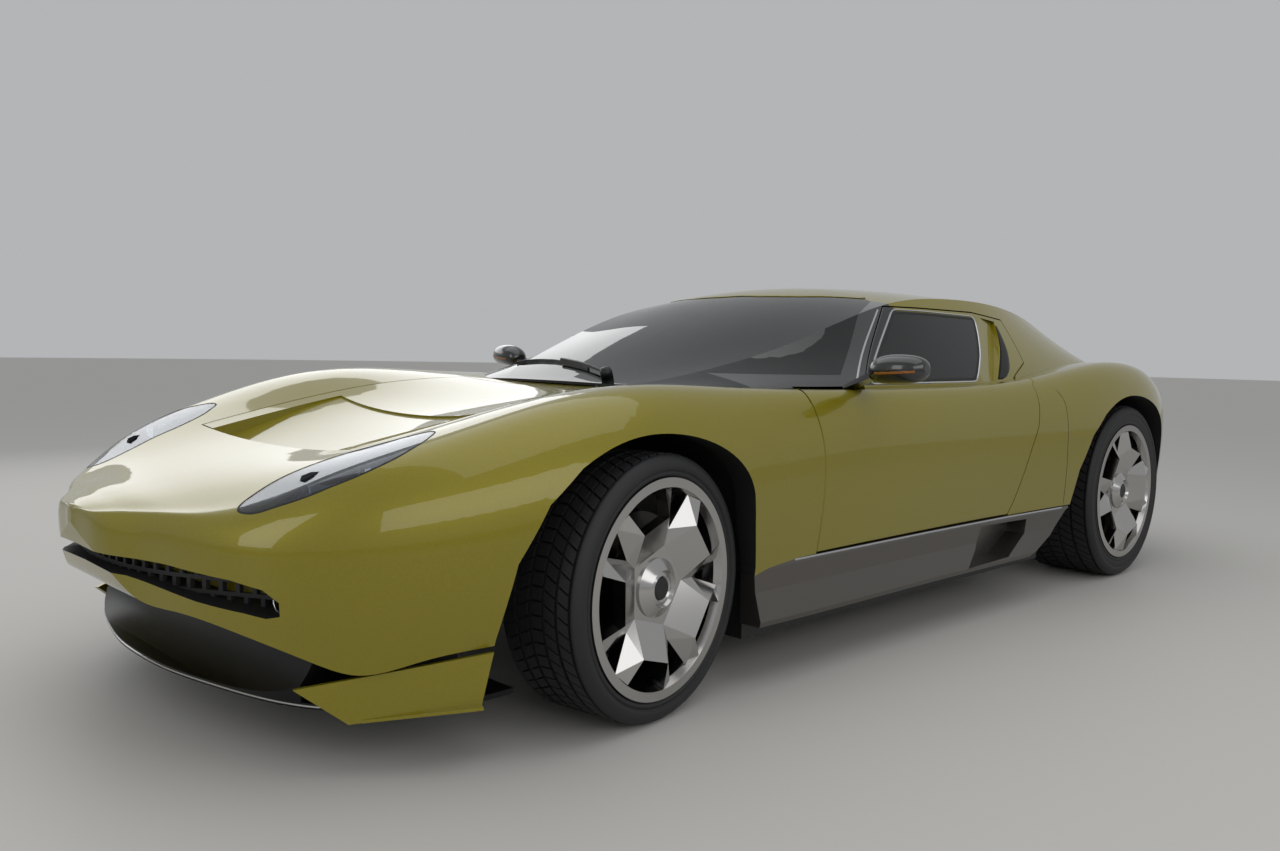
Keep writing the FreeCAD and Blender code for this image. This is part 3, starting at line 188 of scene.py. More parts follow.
def inside_box(tree, place, low, high):
    """1 inside the box between two corners, else 0."""
    middle = [(a + b) / 2 for a, b in zip(low, high)]
    half = [(b - a) / 2 for a, b in zip(low, high)]
    offset = add(tree, VECTOR, {"operation": "SUBTRACT"}, place, middle).outputs[0]
    distance = add(tree, VECTOR, {"operation": "ABSOLUTE"}, offset).outputs[0]
    beyond = add(tree, VECTOR, {"operation": "SUBTRACT"}, distance, half).outputs[0]
    parts = add(tree, "ShaderNodeSeparateXYZ", {}, beyond).outputs
    widest = add(tree, MATH, {"operation": "MAXIMUM"}, parts[0], parts[1]).outputs[0]
    widest = add(tree, MATH, {"operation": "MAXIMUM"}, widest, parts[2]).outputs[0]
    return add(tree, MATH, {"operation": "LESS_THAN"}, widest, 0.0).outputs[0]


def within(tree, limits, result=1.0):
    """The result where every value lies between its limits, else 0; limits hold (value, lowest, highest)."""
    for value, lowest, highest in limits:
        for operation, limit in (("GREATER_THAN", lowest), ("LESS_THAN", highest)):
            if limit is not None:
                test = add(tree, MATH, {"operation": operation}, value, limit)
                result = add(tree, MATH, {"operation": "MULTIPLY"}, result, test.outputs[0]).outputs[0]
    return result


def grain(tree, place, size_mm, strength, depth_mm, detail=2.0):
    """The normals of a surface with an uneven grain of this size and depth."""
    pattern = add(tree, "ShaderNodeTexNoise", {"Scale": 1000 / size_mm, "Detail": detail, "Vector": place})
    settings = {"Strength": strength, "Distance": depth_mm / 1000, "Height": pattern.outputs[0]}
    return add(tree, "ShaderNodeBump", settings).outputs[0]


def grained(name, colour, settings, size_mm, strength, depth_mm, socket="Normal", detail=2.0):
    """A material of one Principled shader with a grain in its surface."""
    material, tree, surface = shader(name, colour, settings)
    place = add(tree, "ShaderNodeTexCoord").outputs["Object"]
    tree.links.new(grain(tree, place, size_mm, strength, depth_mm, detail), surface.inputs[socket])
    return material


def painted(name, door=False):
    """Metallic base coat under lacquer with a black lining; doors add a black frame and painted shade in the
    scoop.
    """
    material, tree, output = new_material(name)
    coordinates = add(tree, "ShaderNodeTexCoord").outputs
    place, normal = coordinates["Object"], coordinates["Normal"]
    where = add(tree, "ShaderNodeSeparateXYZ", {}, place).outputs
    faces = add(tree, "ShaderNodeSeparateXYZ", {}, normal).outputs
    from_middle = add(tree, MATH, {"operation": "ABSOLUTE"}, where[1]).outputs[0]
    side = add(tree, MATH, {"operation": "SIGN"}, where[1]).outputs[0]
    outwards = add(tree, MATH, {"operation": "MULTIPLY"}, faces[1], side).outputs[0]
    flat = add(tree, VECTOR, {"operation": "MULTIPLY"}, place, (1, 0, 1)).outputs[0]
    cabin = [(outwards, None, FACES_INWARDS), (where[0], None, CABIN_FRONT_X), (where[2], SILL_TOP_Z, None)]
    lining_and_shade = [within(tree, cabin), within(tree, [(faces[2], None, FACES_DOWN), (where[2], UNDERSIDE_Z, None)]),
             within(tree, [(faces[0], -FACES_ALONG, FACES_ALONG)], inside_box(tree, place, *MOUTH_SPACE))]
    for (axle_x, axle_z), radius in WELLS:
        inwards = add(tree, VECTOR, {"operation": "SUBTRACT"}, (axle_x, 0, axle_z), flat).outputs[0]
        distance = add(tree, VECTOR, {"operation": "LENGTH"}, inwards).outputs["Value"]
        towards = add(tree, VECTOR, {"operation": "DOT_PRODUCT"}, inwards, normal).outputs["Value"]
        well = [(distance, None, radius), (from_middle, None, WELL_SKIN_Y), (faces[2], None, WELL_CEILING)]
        facing_wheel = [(distance, None, WELL_REACH), (towards, WELL_FACING, None)]
        lining_and_shade += [within(tree, well), within(tree, facing_wheel)]
    lining_and_shade += [inside_box(tree, place, *space) for space in LINED_SPACES]
    flakes = add(tree, "ShaderNodeTexVoronoi", {"Scale": 1000 / FLAKE_MM, "Vector": place}).outputs["Color"]
    shades = {"data_type": "RGBA", 0: flakes, 6: linear(PAINT_SHADE), 7: linear(PAINT_COLOUR)}
    colour = add(tree, "ShaderNodeMix", shades).outputs[2]
    if door:
        in_frame = inside_box(tree, place, *BLACK_FRAME)
        shades = {"data_type": "RGBA", 0: in_frame, 6: colour, 7: linear(GLOSS_BLACK)}
        colour = add(tree, "ShaderNodeMix", shades).outputs[2]
        # the pocket behind the scoop's vane is painted shade: black, standing for the dark of the open inlet
        share_y, share_z = INLET_OUTWARDS
        raised = add(tree, MATH, {"operation": "MULTIPLY"}, where[2], share_z).outputs[0]
        skin = add(tree, MATH, {"operation": "MULTIPLY_ADD"}, from_middle, share_y, raised).outputs[0]
        lining_and_shade.append(within(tree, [(skin, None, INLET_SKIN)], inside_box(tree, place, *INLET_SHADE_SPACE)))
    black = 0.0
    for area in lining_and_shade:
        black = add(tree, MATH, {"operation": "MAXIMUM"}, black, area).outputs[0]
    lacquer = add(tree, "ShaderNodeBsdfPrincipled", {
        "Base Color": colour, "Metallic": 0.35, "Roughness": 0.40, "Specular IOR Level": 0.2,
        "Coat Weight": 1.0, "Coat Roughness": 0.03, "Coat Normal": grain(tree, place, PEEL_MM, 0.05, 0.3)})
    underseal_and_shade = add(tree, "ShaderNodeBsdfPrincipled", {
        "Base Color": linear(UNDERSEAL_AND_SHADE_COLOUR), "Roughness": 0.62,
        "Normal": grain(tree, place, UNDERSEAL_GRAIN_MM, 0.4, 0.6)})
    finish = add(tree, "ShaderNodeMixShader", {}, black, lacquer.outputs[0], underseal_and_shade.outputs[0])
    tree.links.new(finish.outputs[0], output.inputs["Surface"])
    return material


paint = painted("metallic_paint_under_lacquer")
nodes = frame["nodes"]


def dress(material, *names):
    """Give CAD nodes one material in place of their own."""
    for name in names:
        nodes[name].data.materials.clear()
        nodes[name].data.materials.append(material)


dress(paint, "front_body", "rear_body", "roof", "bonnet", "engine_lid", "scoop_left", "scoop_right",
      "winglets")
dress(painted("metallic_paint_on_doors", door=True), "door_left", "door_right")

# Black panels
# The windscreen pillars and mirrors are moulded composite, sprayed gloss black like the splitter's tray.
# The diffuser, meshes and floor are bare satin composite, moulded with a fine grain.
SATIN_BLACK, TRAY_COLOUR = "#171718", "#09090a"
TRIM_GRAIN_MM = 1.4
# deep black whose lacquer wavers a little, so that reflections in it are clear but not flat
gloss_black = grained("gloss_black_lacquer", GLOSS_BLACK, {
    "Roughness": 0.22, "Coat Weight": 1.0, "Coat Roughness": 0.04}, PEEL_MM, 0.04, 0.3, "Coat Normal")
# a fine even grain breaks every highlight into a soft sheen
satin_black = grained("moulded_black_composite", SATIN_BLACK, {"Roughness": 0.5}, TRIM_GRAIN_MM, 0.25, 0.2)
# a weaker shine than the pillars have, so the low tray reads as dark
tray_black = grained("semi_gloss_black_lacquer", TRAY_COLOUR, {"Roughness": 0.34, "Specular IOR Level": 0.22},
                     PEEL_MM, 0.05, 0.3)
dress(gloss_black, "windscreen_pillars", "mirror_left", "mirror_right", "headlight_units")
dress(tray_black, "splitter")
dress(satin_black, "nose_grille", "tail_grille", "diffuser", "floor_pan")

# Windscreen and door glass
# Laminated and toughened float glass, tinted dark and bonded in. The screen has a black ceramic band
# across its foot, and one long wiper that parks along it, on an arm from the scuttle.
GLASS_TINT, CERAMIC_COLOUR, WIPER_COLOUR = "#333b39", "#0a0a0b", "#111112"
CERAMIC_EDGE_X = 0.705
# x and y along the parked wiper, from its pivot to its tip
WIPER_LINE = [(0.772, 0.140), (0.742, 0.055), (0.715, -0.030), (0.688, -0.138), (0.663, -0.248),
              (0.649, -0.349), (0.648, -0.420), (0.655, -0.470)]
WIPER_SPACING, ARM_ENDS, BLADE_STARTS = 0.03, 0.55, 0.22
ARM_WIDTH, ARM_LOW, ARM_HIGH = 0.011, 0.011, 0.019
BLADE_WIDTH, BLADE_LOW, BLADE_HIGH = 0.009, 0.0005, 0.010
# radius and height round the pivot's cap
PIVOT_PROFILE = [(0.0, 0.0), (0.020, 0.0), (0.020, 0.018), (0.015, 0.030), (0.0, 0.032)]
FLOAT_GLASS = {"Roughness": 0.0, "IOR": 1.5}
# smooth and dark: reflections lie on top and the cabin shows dimly behind
tinted_glass = shader("tinted_float_glass", GLASS_TINT, {**FLOAT_GLASS, "Transmission Weight": 1.0})[0]
dress(tinted_glass, "door_glass_left", "door_glass_right")
# the same glass, opaque black where the fired ceramic hides the bond
screen_glass, tree, surface = shader("laminated_screen_with_ceramic_band", GLASS_TINT, FLOAT_GLASS)
where = add(tree, "ShaderNodeSeparateXYZ", {}, add(tree, "ShaderNodeTexCoord").outputs["Object"]).outputs
clear = add(tree, MATH, {"operation": "LESS_THAN"}, where[0], CERAMIC_EDGE_X).outputs[0]
shades = {"data_type": "RGBA", 0: clear, 6: linear(CERAMIC_COLOUR), 7: linear(GLASS_TINT)}
tree.links.new(clear, surface.inputs["Transmission Weight"])
tree.links.new(add(tree, "ShaderNodeMix", shades).outputs[2], surface.inputs["Base Color"])
dress(screen_glass, "windscreen")
# powder coat: dull black with a faint pebble
wiper_black = grained("powder_coated_wiper_steel", WIPER_COLOUR, {"Roughness": 0.4}, 0.8, 0.2, 0.1)


def shape(name, points, faces, material, smooth=False):
    """A mesh object from points and faces, its normals turned outwards."""
    mesh = bpy.data.meshes.new(name)
    mesh.from_pydata([tuple(point) for point in points], [], faces)
    form = bmesh.new()
    form.from_mesh(mesh)
    bmesh.ops.remove_doubles(form, verts=form.verts, dist=1e-6)
    bmesh.ops.recalc_face_normals(form, faces=form.faces)
    form.to_mesh(mesh)
    form.free()
    for face in mesh.polygons:
        face.use_smooth = smooth
    mesh.materials.append(material)
    return link_object(name, mesh)


def band(here, there, count):
    """The faces between two rings of points, which start at these numbers."""
    return [(here + k, here + (k + 1) % count, there + (k + 1) % count, there + k) for k in range(count)]


def lathe(name, profile, steps, material, smooth=True):
    """Turn a closed (radius, y) profile about the Y axis."""
    points, faces = [], []
    count = len(profile)
    for step in range(steps):
        angle = 2 * math.pi * step / steps
        points += [(radius * math.sin(angle), y, radius * math.cos(angle)) for radius, y in profile]
        faces += band(step * count, (step + 1) % steps * count, count)
    return shape(name, points, faces, material, smooth)


def made_by(tree, name, values):
    """Run a geometry node tree with these named inputs; returns its result as a plain mesh object."""
    host = link_object(name, bpy.data.meshes.new("host"))
    modifier = host.modifiers.new("made_by", "NODES")
    modifier.node_group = tree
    for socket in tree.interface.items_tree:
        if socket.in_out == "INPUT":
            modifier[socket.identifier] = values[socket.name]
    bpy.context.view_layer.update()
    mesh = bpy.data.meshes.new_from_object(host.evaluated_get(bpy.context.evaluated_depsgraph_get()))
    host.modifiers.remove(modifier)
    host.data = mesh
    return host


def node_tree(name, inputs):
    """A geometry node tree with these named inputs; returns the tree and its input node."""
    tree = bpy.data.node_groups.new(name, "GeometryNodeTree")
    for label, kind in inputs:
        tree.interface.new_socket(label, in_out="INPUT", socket_type="NodeSocket" + kind)
    tree.interface.new_socket("Geometry", in_out="OUTPUT", socket_type="NodeSocketGeometry")
    return tree, tree.nodes.new("NodeGroupInput")


def finish_tree(tree, geometry, material):
    """End a tree in plain geometry with its material."""
    solid = add(tree, "GeometryNodeRealizeInstances", {}, geometry)
    dressed = add(tree, "GeometryNodeSetMaterial", {"Geometry": solid.outputs[0], "Material": material})
    add(tree, "NodeGroupOutput", {}, dressed.outputs[0])


def repeated(item, count, turn, step, material):
    """Copies of an object, each turned about Y and moved on from the last, as one plain mesh."""
    sockets = [("Count", "Int"), ("Turn", "Float"), ("Step", "Vector"), ("Material", "Material")]
    tree, group_input = node_tree("copies_of_" + item.name, sockets)
    given = group_input.outputs
    line = add(tree, "GeometryNodeMeshLine", {"Count": given["Count"], "Offset": given["Step"]})
    index = add(tree, "GeometryNodeInputIndex").outputs[0]
    angle = add(tree, MATH, {"operation": "MULTIPLY"}, index, given["Turn"])
    turned = add(tree, "ShaderNodeCombineXYZ", {"Y": angle.outputs[0]})
    source = add(tree, "GeometryNodeObjectInfo", {"Object": item})
    copies = add(tree, "GeometryNodeInstanceOnPoints", {
        "Points": line.outputs[0], "Instance": source.outputs["Geometry"], "Rotation": turned.outputs[0]})
    finish_tree(tree, copies.outputs[0], given["Material"])
    values = {"Count": count, "Turn": turn, "Step": step, "Material": material}
    row = made_by(tree, item.name + "_row", values)
    bpy.data.objects.remove(item)
    return row


def joined(name, pieces):
    """Several mesh objects as one."""
    form = bmesh.new()
    materials = []
    for piece in pieces:
        first = len(form.faces)
        for material in piece.data.materials:
            if material not in materials:
                materials.append(material)
        form.from_mesh(piece.data)
        form.faces.ensure_lookup_table()
        for face in form.faces[first:]:
            face.material_index = materials.index(piece.data.materials[face.material_index])
    mesh = bpy.data.meshes.new(name)
    form.to_mesh(mesh)
    form.free()
    for material in materials:
        mesh.materials.append(material)
    for piece in pieces:
        bpy.data.objects.remove(piece)
    return link_object(name, mesh)


def set_down(item, matrix):
    """Put the object's place into its mesh."""
    item.data.transform(matrix)
    if matrix.determinant() < 0:
        item.data.flip_normals()


surfaces = {}


def touch(names, start, direction):
    """Where a straight line first meets one of the CAD nodes: the point and its normal, or None."""
    found = None
    for name in names:
        if name not in surfaces:
            surfaces[name] = BVHTree.FromObject(nodes[name], bpy.context.evaluated_depsgraph_get())
        hit = surfaces[name].ray_cast(Vector(start), Vector(direction))
        if hit[0] is not None and (found is None or hit[3] < found[3]):
            found = hit
    return found and (found[0], found[1])


def spaced(points, spacing, closed=False):
    """The same path with points added, so that none of its steps is longer than the spacing."""
    points = [Vector(point) for point in points]
    result = []
    pairs = list(zip(points, points[1:] + points[:1]))
    for start, end in pairs if closed else pairs[:-1]:
        steps = max(1, math.ceil((end - start).length / spacing))
        result += [start.lerp(end, step / steps) for step in range(steps)]
    return result if closed else result + points[-1:]


def rail(name, spots, width, low, high, material, closed=False, crown=0.6):
    """A strip along a surface; spots are (point, normal), low and high its heights above them."""
    points, faces = [], []
    count = len(spots)
    for index, (point, normal) in enumerate(spots):
        before = spots[index - 1][0] if index or closed else point
        after = spots[(index + 1) % count][0] if index + 1 < count or closed else point
        side = normal.cross((after - before).normalized()).normalized() * width / 2
        points += [point + normal * low + side, point + normal * high + side * crown,
                   point + normal * high - side * crown, point + normal * low - side]
    for index in range(count if closed else count - 1):
        faces += band(index * 4, (index + 1) % count * 4, 4)
    if not closed:
        faces += [(0, 1, 2, 3), tuple(count * 4 - k for k in (4, 3, 2, 1))]
    return shape(name, points, faces, material)


def mirrored_copy(item, name):
    """The same piece on the car's right side."""
    copy = link_object(name, item.data.copy())
    set_down(copy, Matrix.Scale(-1, 4, (0, 1, 0)))
    return copy


def facing(place, direction):
    """The matrix that puts a lathed piece at a place, with its Y axis along a direction."""
    return Matrix.Translation(place) @ Vector(direction).to_track_quat("Y", "Z").to_matrix().to_4x4()


def from_above(names, flat):
    """Spots on the top of CAD nodes for points with x and y."""
    found = [touch(names, (point[0], point[1], 2.0), (0, 0, -1)) for point in flat]
    return [spot for spot in found if spot]


wiper_spots = from_above(["windscreen"], spaced([(x, y, 0) for x, y in WIPER_LINE], WIPER_SPACING))
arm_spots = wiper_spots[:round(ARM_ENDS * len(wiper_spots))]
blade_spots = wiper_spots[round(BLADE_STARTS * len(wiper_spots)):]
arm = rail("arm", arm_spots, ARM_WIDTH, ARM_LOW, ARM_HIGH, wiper_black)
blade = rail("blade", blade_spots, BLADE_WIDTH, BLADE_LOW, BLADE_HIGH, wiper_black, crown=0.3)
pivot = lathe("pivot", PIVOT_PROFILE, 24, wiper_black)
set_down(pivot, facing(*wiper_spots[0]))
wiper = joined("wiper", [arm, blade, pivot])
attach(wiper, "root")

# Side window trim
# Each door window sits in a black rubber seal inside a bright stainless bead. A second bead runs down
# the screen pillar, and a black plate that carries the mirror fills the window's front corner.
WINDOW_OUTLINE = [(0.220, 0.812), (-0.120, 1.046), (-0.290, 1.044), (-0.612, 1.036), (-0.582, 0.980),
                  (-0.532, 0.905), (-0.470, 0.840), (-0.440, 0.812)]
PLATE_OUTLINE = [(0.128, 0.875), (0.176, 0.815), (0.218, 0.813)]
PILLAR_BEAD = [(0.292, 0.812), (-0.045, 1.046)]
TRIM_SPACING, CORNER_RADIUS, TRIM_SUNK = 0.018, 0.022, -0.001
BEAD_WIDTH, BEAD_HEIGHT, SEAL_WIDTH, SEAL_HEIGHT = 0.007, 0.0028, 0.014, 0.0012
SEAL_OUT, BEAD_OUT, PLATE_LIFT, DIVIDER_HEIGHT = -0.004, 0.005, 0.002, 0.0048
# drawn and polished strip: one bright line that follows the window
stainless = grained("bright_stainless_steel", "#d5d6d8", {"Metallic": 1.0, "Roughness": 0.14}, 2.0, 0.03, 0.1)
# dull and darker than all round it, so each gap reads as a line
seal_rubber = grained("extruded_seal_rubber", "#0e0e0f", {"Roughness": 0.55}, 1.0, 0.2, 0.1)


def rounded(outline, radius):
    """A closed flat outline with its corners rounded."""
    points = []
    for index, corner in enumerate(outline):
        corner = Vector(corner)
        before, after = Vector(outline[index - 1]), Vector(outline[(index + 1) % len(outline)])
        start = corner + (before - corner).normalized() * min(radius, (before - corner).length / 2)
        end = corner + (after - corner).normalized() * min(radius, (after - corner).length / 2)
        for t in (0, 0.25, 0.5, 0.75, 1):
            points.append(start * (1 - t) ** 2 + corner * 2 * t * (1 - t) + end * t * t)
    return points


def widened(points, distance):
    """A closed flat outline, anticlockwise in (x, z), moved outwards."""
    moved = []
    for index, point in enumerate(points):
        along = (points[(index + 1) % len(points)] - points[index - 1]).normalized()
        moved.append(point + Vector((along.y, -along.x)) * distance)
    return moved


def on_side(names, flat, side=1):
    """Spots on the car's left or right side for (x, z) points."""
    found = [touch(names, (point[0], 1.4 * side, point[1]), (0, -side, 0)) for point in flat]
    return [spot for spot in found if spot]


def patch(name, spots, lift, material):
    """A thin plate over a surface, its edge through the spots."""
    count = len(spots)
    middle = sum((point for point, normal in spots), Vector()) / count
    out = sum((normal for point, normal in spots), Vector()).normalized()
    points = [point + normal * TRIM_SUNK for point, normal in spots]
    points += [point + normal * lift for point, normal in spots]
    points += [middle + out * TRIM_SUNK, middle + out * lift]
    faces = []
    for a, b, c, d in band(0, count, count):
        faces += [(a, b, c, d), (d, c, 2 * count + 1), (a, b, 2 * count)]
    return shape(name, points, faces, material)


SIDES = ((1, "left"), (-1, "right"))
window_line = rounded(WINDOW_OUTLINE, CORNER_RADIUS)
seal_line = spaced(widened(window_line, SEAL_OUT), TRIM_SPACING, closed=True)
bead_line = spaced(widened(window_line, BEAD_OUT), TRIM_SPACING, closed=True)
plate_line = spaced(PLATE_OUTLINE, TRIM_SPACING, closed=True)
divider_line = spaced(PLATE_OUTLINE[:2], TRIM_SPACING)
pillar_line = spaced(PILLAR_BEAD, TRIM_SPACING)
for side, tag in SIDES:
    panes = ["door_" + tag, "door_glass_" + tag]
    seal = rail("window_seal_" + tag, on_side(panes, seal_line, side), SEAL_WIDTH, TRIM_SUNK, SEAL_HEIGHT,
                seal_rubber, closed=True)
    bead = rail("bead", on_side(panes, bead_line, side), BEAD_WIDTH, TRIM_SUNK, BEAD_HEIGHT,
                stainless, closed=True)
    plate = patch("mirror_plate_" + tag, on_side(panes, plate_line, side), PLATE_LIFT, gloss_black)
    divider = rail("divider", on_side(panes, divider_line, side), BEAD_WIDTH, -TRIM_SUNK, DIVIDER_HEIGHT,
                   stainless)
    bright = joined("window_bead_" + tag, [bead, divider])
    pillar_spots = on_side(["windscreen_pillars"], pillar_line, side)
    pillar_bead = rail("pillar_bead_" + tag, pillar_spots, BEAD_WIDTH, TRIM_SUNK, BEAD_HEIGHT, stainless)
    for piece, slot in ((seal, "black_trim"), (plate, "black_gloss"), (bright, "chrome")):
        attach(piece, "door_" + tag)
    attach(pillar_bead, "root")

# Roof edge, painted inlet shade and shut lines
# The roof panel laps over the top of the glass in a thin painted edge. A thin black plate over the rear of
# each scoop is painted shade, standing for the dark of the open inlet, and a rubber-filled joint runs down
# behind the door, where the rear clamshell ends.
ROOF_EDGE_HALF, ROOF_EDGE_RISE = 0.470, 0.0022
ROOF_EDGE_ROWS, ROOF_EDGE_COLUMNS = 24, 14      # rows on each side of the middle, steps from rear to front
# distance from the middle, rear and front edge of the roof's painted strip
ROOF_EDGE = [(0.000, -0.268, -0.030), (0.100, -0.264, -0.022), (0.200, -0.254, -0.036),
             (0.260, -0.242, -0.052), (0.357, -0.215, -0.098), (0.425, -0.180, -0.123),
             (0.470, -0.152, -0.138)]
# height, front edge and rear edge of the black plate of painted inlet shade
INLET_SHADE_PLATE = [(0.812, -0.611, -0.645), (0.822, -0.618, -0.686), (0.847, -0.640, -0.727),
              (0.888, -0.680, -0.753), (0.916, -0.705, -0.765), (0.948, -0.730, -0.770),
              (0.987, -0.752, -0.772), (1.010, -0.763, -0.771)]
INLET_ROWS, INLET_COLUMNS, INLET_RISE = 20, 5, 0.0014
SKIN_GAP = 0.0003
CLAMSHELL_LINE = [(-0.846, 0.775), (-0.866, 0.749), (-0.877, 0.723), (-0.877, 0.645), (-0.876, 0.566),
                  (-0.886, 0.455), (-0.898, 0.345)]
JOINT_SPACING, JOINT_WIDTH, JOINT_LOW, JOINT_HIGH = 0.015, 0.0032, -0.0008, 0.0004


def between(table, value):
    """The other columns of a table, read off at a value of its first column."""
    for low, high in zip(table, table[1:]):
        if value <= high[0]:
            break
    share = (value - low[0]) / (high[0] - low[0])
    return [a + (b - a) * share for a, b in zip(low[1:], high[1:])]


def panel(name, rows, low, high, material):
    """A thin panel that follows a surface; rows hold (point, normal) spots."""
    width = len(rows[0])
    flat = [spot for row in rows for spot in row]
    points = [point + normal * high for point, normal in flat]
    points += [point + normal * low for point, normal in flat]
    count = len(flat)
    faces = []
    for row in range(len(rows) - 1):
        for a in range(row * width, row * width + width - 1):
            faces.append((a, a + 1, a + width + 1, a + width))
            faces.append(tuple(count + k for k in (a, a + width, a + width + 1, a + 1)))
    rim = list(range(width)) + [row * width + width - 1 for row in range(1, len(rows))]
    rim += [count - 1 - column for column in range(1, width)]
    rim += [row * width for row in range(len(rows) - 2, 0, -1)]
    for here, there in zip(rim, rim[1:] + rim[:1]):
        faces.append((there, here, count + here, count + there))
    return shape(name, points, faces, material, smooth=True)


edge_rows = []
for step in range(-ROOF_EDGE_ROWS, ROOF_EDGE_ROWS + 1):
    y = ROOF_EDGE_HALF * step / ROOF_EDGE_ROWS
    rear, front = between(ROOF_EDGE, abs(y))
    line = [(rear + (front - rear) * k / ROOF_EDGE_COLUMNS, y) for k in range(ROOF_EDGE_COLUMNS + 1)]
    edge_rows.append(from_above(["windscreen", "roof"], line))
roof_edge = panel("roof_front_edge", edge_rows, SKIN_GAP, ROOF_EDGE_RISE, paint)
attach(roof_edge, "root")
for side, tag in SIDES:
    shade_plate_rows = []
    for step in range(INLET_ROWS + 1):
        z = INLET_SHADE_PLATE[0][0] + (INLET_SHADE_PLATE[-1][0] - INLET_SHADE_PLATE[0][0]) * step / INLET_ROWS
        front, rear = between(INLET_SHADE_PLATE, z)
        line = [(front + (rear - front) * k / INLET_COLUMNS, z) for k in range(INLET_COLUMNS + 1)]
        shade_plate_rows.append(on_side(["door_" + tag], line, side))
    # a thin black plate in the rear of the scoop: painted shade of the open inlet
    inlet = panel("inlet_mesh_" + tag, shade_plate_rows, SKIN_GAP, INLET_RISE, tray_black)
    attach(inlet, "door_" + tag)
    joint_spots = on_side(["rear_body"], spaced(CLAMSHELL_LINE, JOINT_SPACING), side)
    joint = rail("clamshell_joint_" + tag, joint_spots, JOINT_WIDTH, JOINT_LOW, JOINT_HIGH, seal_rubber)
    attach(joint, "root")

# Door mirrors
# Gloss black pods with a silvered glass to the rear and a slim amber turn lamp set into the front. The
# lamp is moulded polycarbonate with upright ribs inside.
MIRROR_FACE_X, MIRROR_MIDDLE, MIRROR_HALF, MIRROR_STEPS = 0.316, (0.932, 0.858), (0.070, 0.027), 40
MIRROR_SQUARENESS, MIRROR_LIFT = (0.7, 0.8), 0.0015      # below 1 the oval's corners fill out
TURN_LAMP = [(0.880, 0.846), (0.905, 0.847), (0.940, 0.849), (0.975, 0.852), (0.998, 0.854)]
TURN_LAMP_WIDTH, TURN_LAMP_LOW, TURN_LAMP_HIGH, RIB_MM = 0.010, -0.002, 0.0012, 1.6


def ribbed(name, colour, settings, rib_mm, strength, depth_mm):
    """A material of one Principled shader with upright moulded ribs."""
    material, tree, surface = shader(name, colour, settings)
    place = add(tree, "ShaderNodeTexCoord").outputs["Object"]
    waves = {"Scale": 1000 / (2 * math.pi * rib_mm), "bands_direction": "Y", "Vector": place}
    ribs = add(tree, "ShaderNodeTexWave", waves).outputs["Fac"]
    relief = add(tree, "ShaderNodeBump", {"Strength": strength, "Distance": depth_mm / 1000, "Height": ribs})
    tree.links.new(relief.outputs[0], surface.inputs["Normal"])
    return material


# silver behind glass: a clean mirror, very slightly uneven
silvered = grained("silvered_mirror_glass", "#c9d0d3", {"Metallic": 1.0, "Roughness": 0.02}, 60.0, 0.02, 0.1)
# clear orange plastic that glows where light passes its ribs
amber = ribbed("amber_polycarbonate", "#a8651a", {"Roughness": 0.12, "Transmission Weight": 0.25},
               RIB_MM, 0.4, 0.4)
ring = []
for step in range(MIRROR_STEPS):
    angle = 2 * math.pi * step / MIRROR_STEPS
    ring.append([middle + half * math.copysign(abs(share) ** power, share) for middle, half, share, power
                 in zip(MIRROR_MIDDLE, MIRROR_HALF, (math.cos(angle), math.sin(angle)), MIRROR_SQUARENESS)])
for side, tag in SIDES:
    spots = [(Vector((MIRROR_FACE_X, side * y, z)), Vector((-1, 0, 0))) for y, z in ring]
    reflector = patch("mirror_glass_" + tag, spots, MIRROR_LIFT, silvered)
    strip = [touch(["mirror_" + tag], (1.0, side * y, z), (-1, 0, 0)) for y, z in TURN_LAMP]
    lamp_spots = [spot for spot in strip if spot]
    lamp = rail("turn_lamp_" + tag, lamp_spots, TURN_LAMP_WIDTH, TURN_LAMP_LOW, TURN_LAMP_HIGH, amber)
    for piece, slot in ((reflector, "chrome"), (lamp, "lens")):
        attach(piece, "door_" + tag)

# Headlights
# Each unit is a black moulded housing with two projector lenses in chromed bezels and a white light
# guide between long fins, under a clear polycarbonate cover that lies flush with the wing in a seal.
LAMP_OUTLINE = [(1.715, 0.590), (1.755, 0.638), (1.820, 0.662), (1.900, 0.655), (1.980, 0.618),
                (2.060, 0.553), (2.108, 0.492), (2.108, 0.462), (2.050, 0.432), (1.930, 0.446),
                (1.820, 0.490), (1.750, 0.540)]
LAMP_SEAL_WIDTH, LAMP_SEAL_HEIGHT = 0.006, 0.0008
# projector: x, y and z of its face, radius of its barrel
PROJECTORS = [((1.9945, 0.535, 0.583), 0.030), ((1.8795, 0.582, 0.627), 0.029)]
PROJECTOR_AIM = (1, 0, 0.1)
# profiles: distance inside the barrel's radius, or None for its axis, and height
BEZEL_PROFILE = [(0.009, -0.006), (0.001, -0.001), (0.001, 0.002), (0.004, 0.003), (0.010, -0.001)]
LENS_PROFILE = [(None, -0.004), (0.009, -0.004), (0.011, 0.001), (0.016, 0.0045), (0.023, 0.0065),
                (None, 0.007)]
# fins on the housing's floor: plan points from front to rear
FINS = [[(2.085, 0.486), (2.02, 0.560), (1.95, 0.615), (1.86, 0.640)],
        [(2.090, 0.474), (2.03, 0.505), (1.90, 0.545), (1.76, 0.585)],
        [(2.075, 0.458), (1.99, 0.475), (1.90, 0.490), (1.80, 0.530)]]
FIN_WIDTH, FIN_HEIGHT, FIN_SPACING = 0.006, 0.026, 0.02
GUIDE_PLACE, GUIDE_SIZE, GUIDE_SWEEP = (1.895, 0.622, 0.628), (0.006, 0.010, 0.030), 0.003
GUIDE_WHITE = "#f4f6f7"
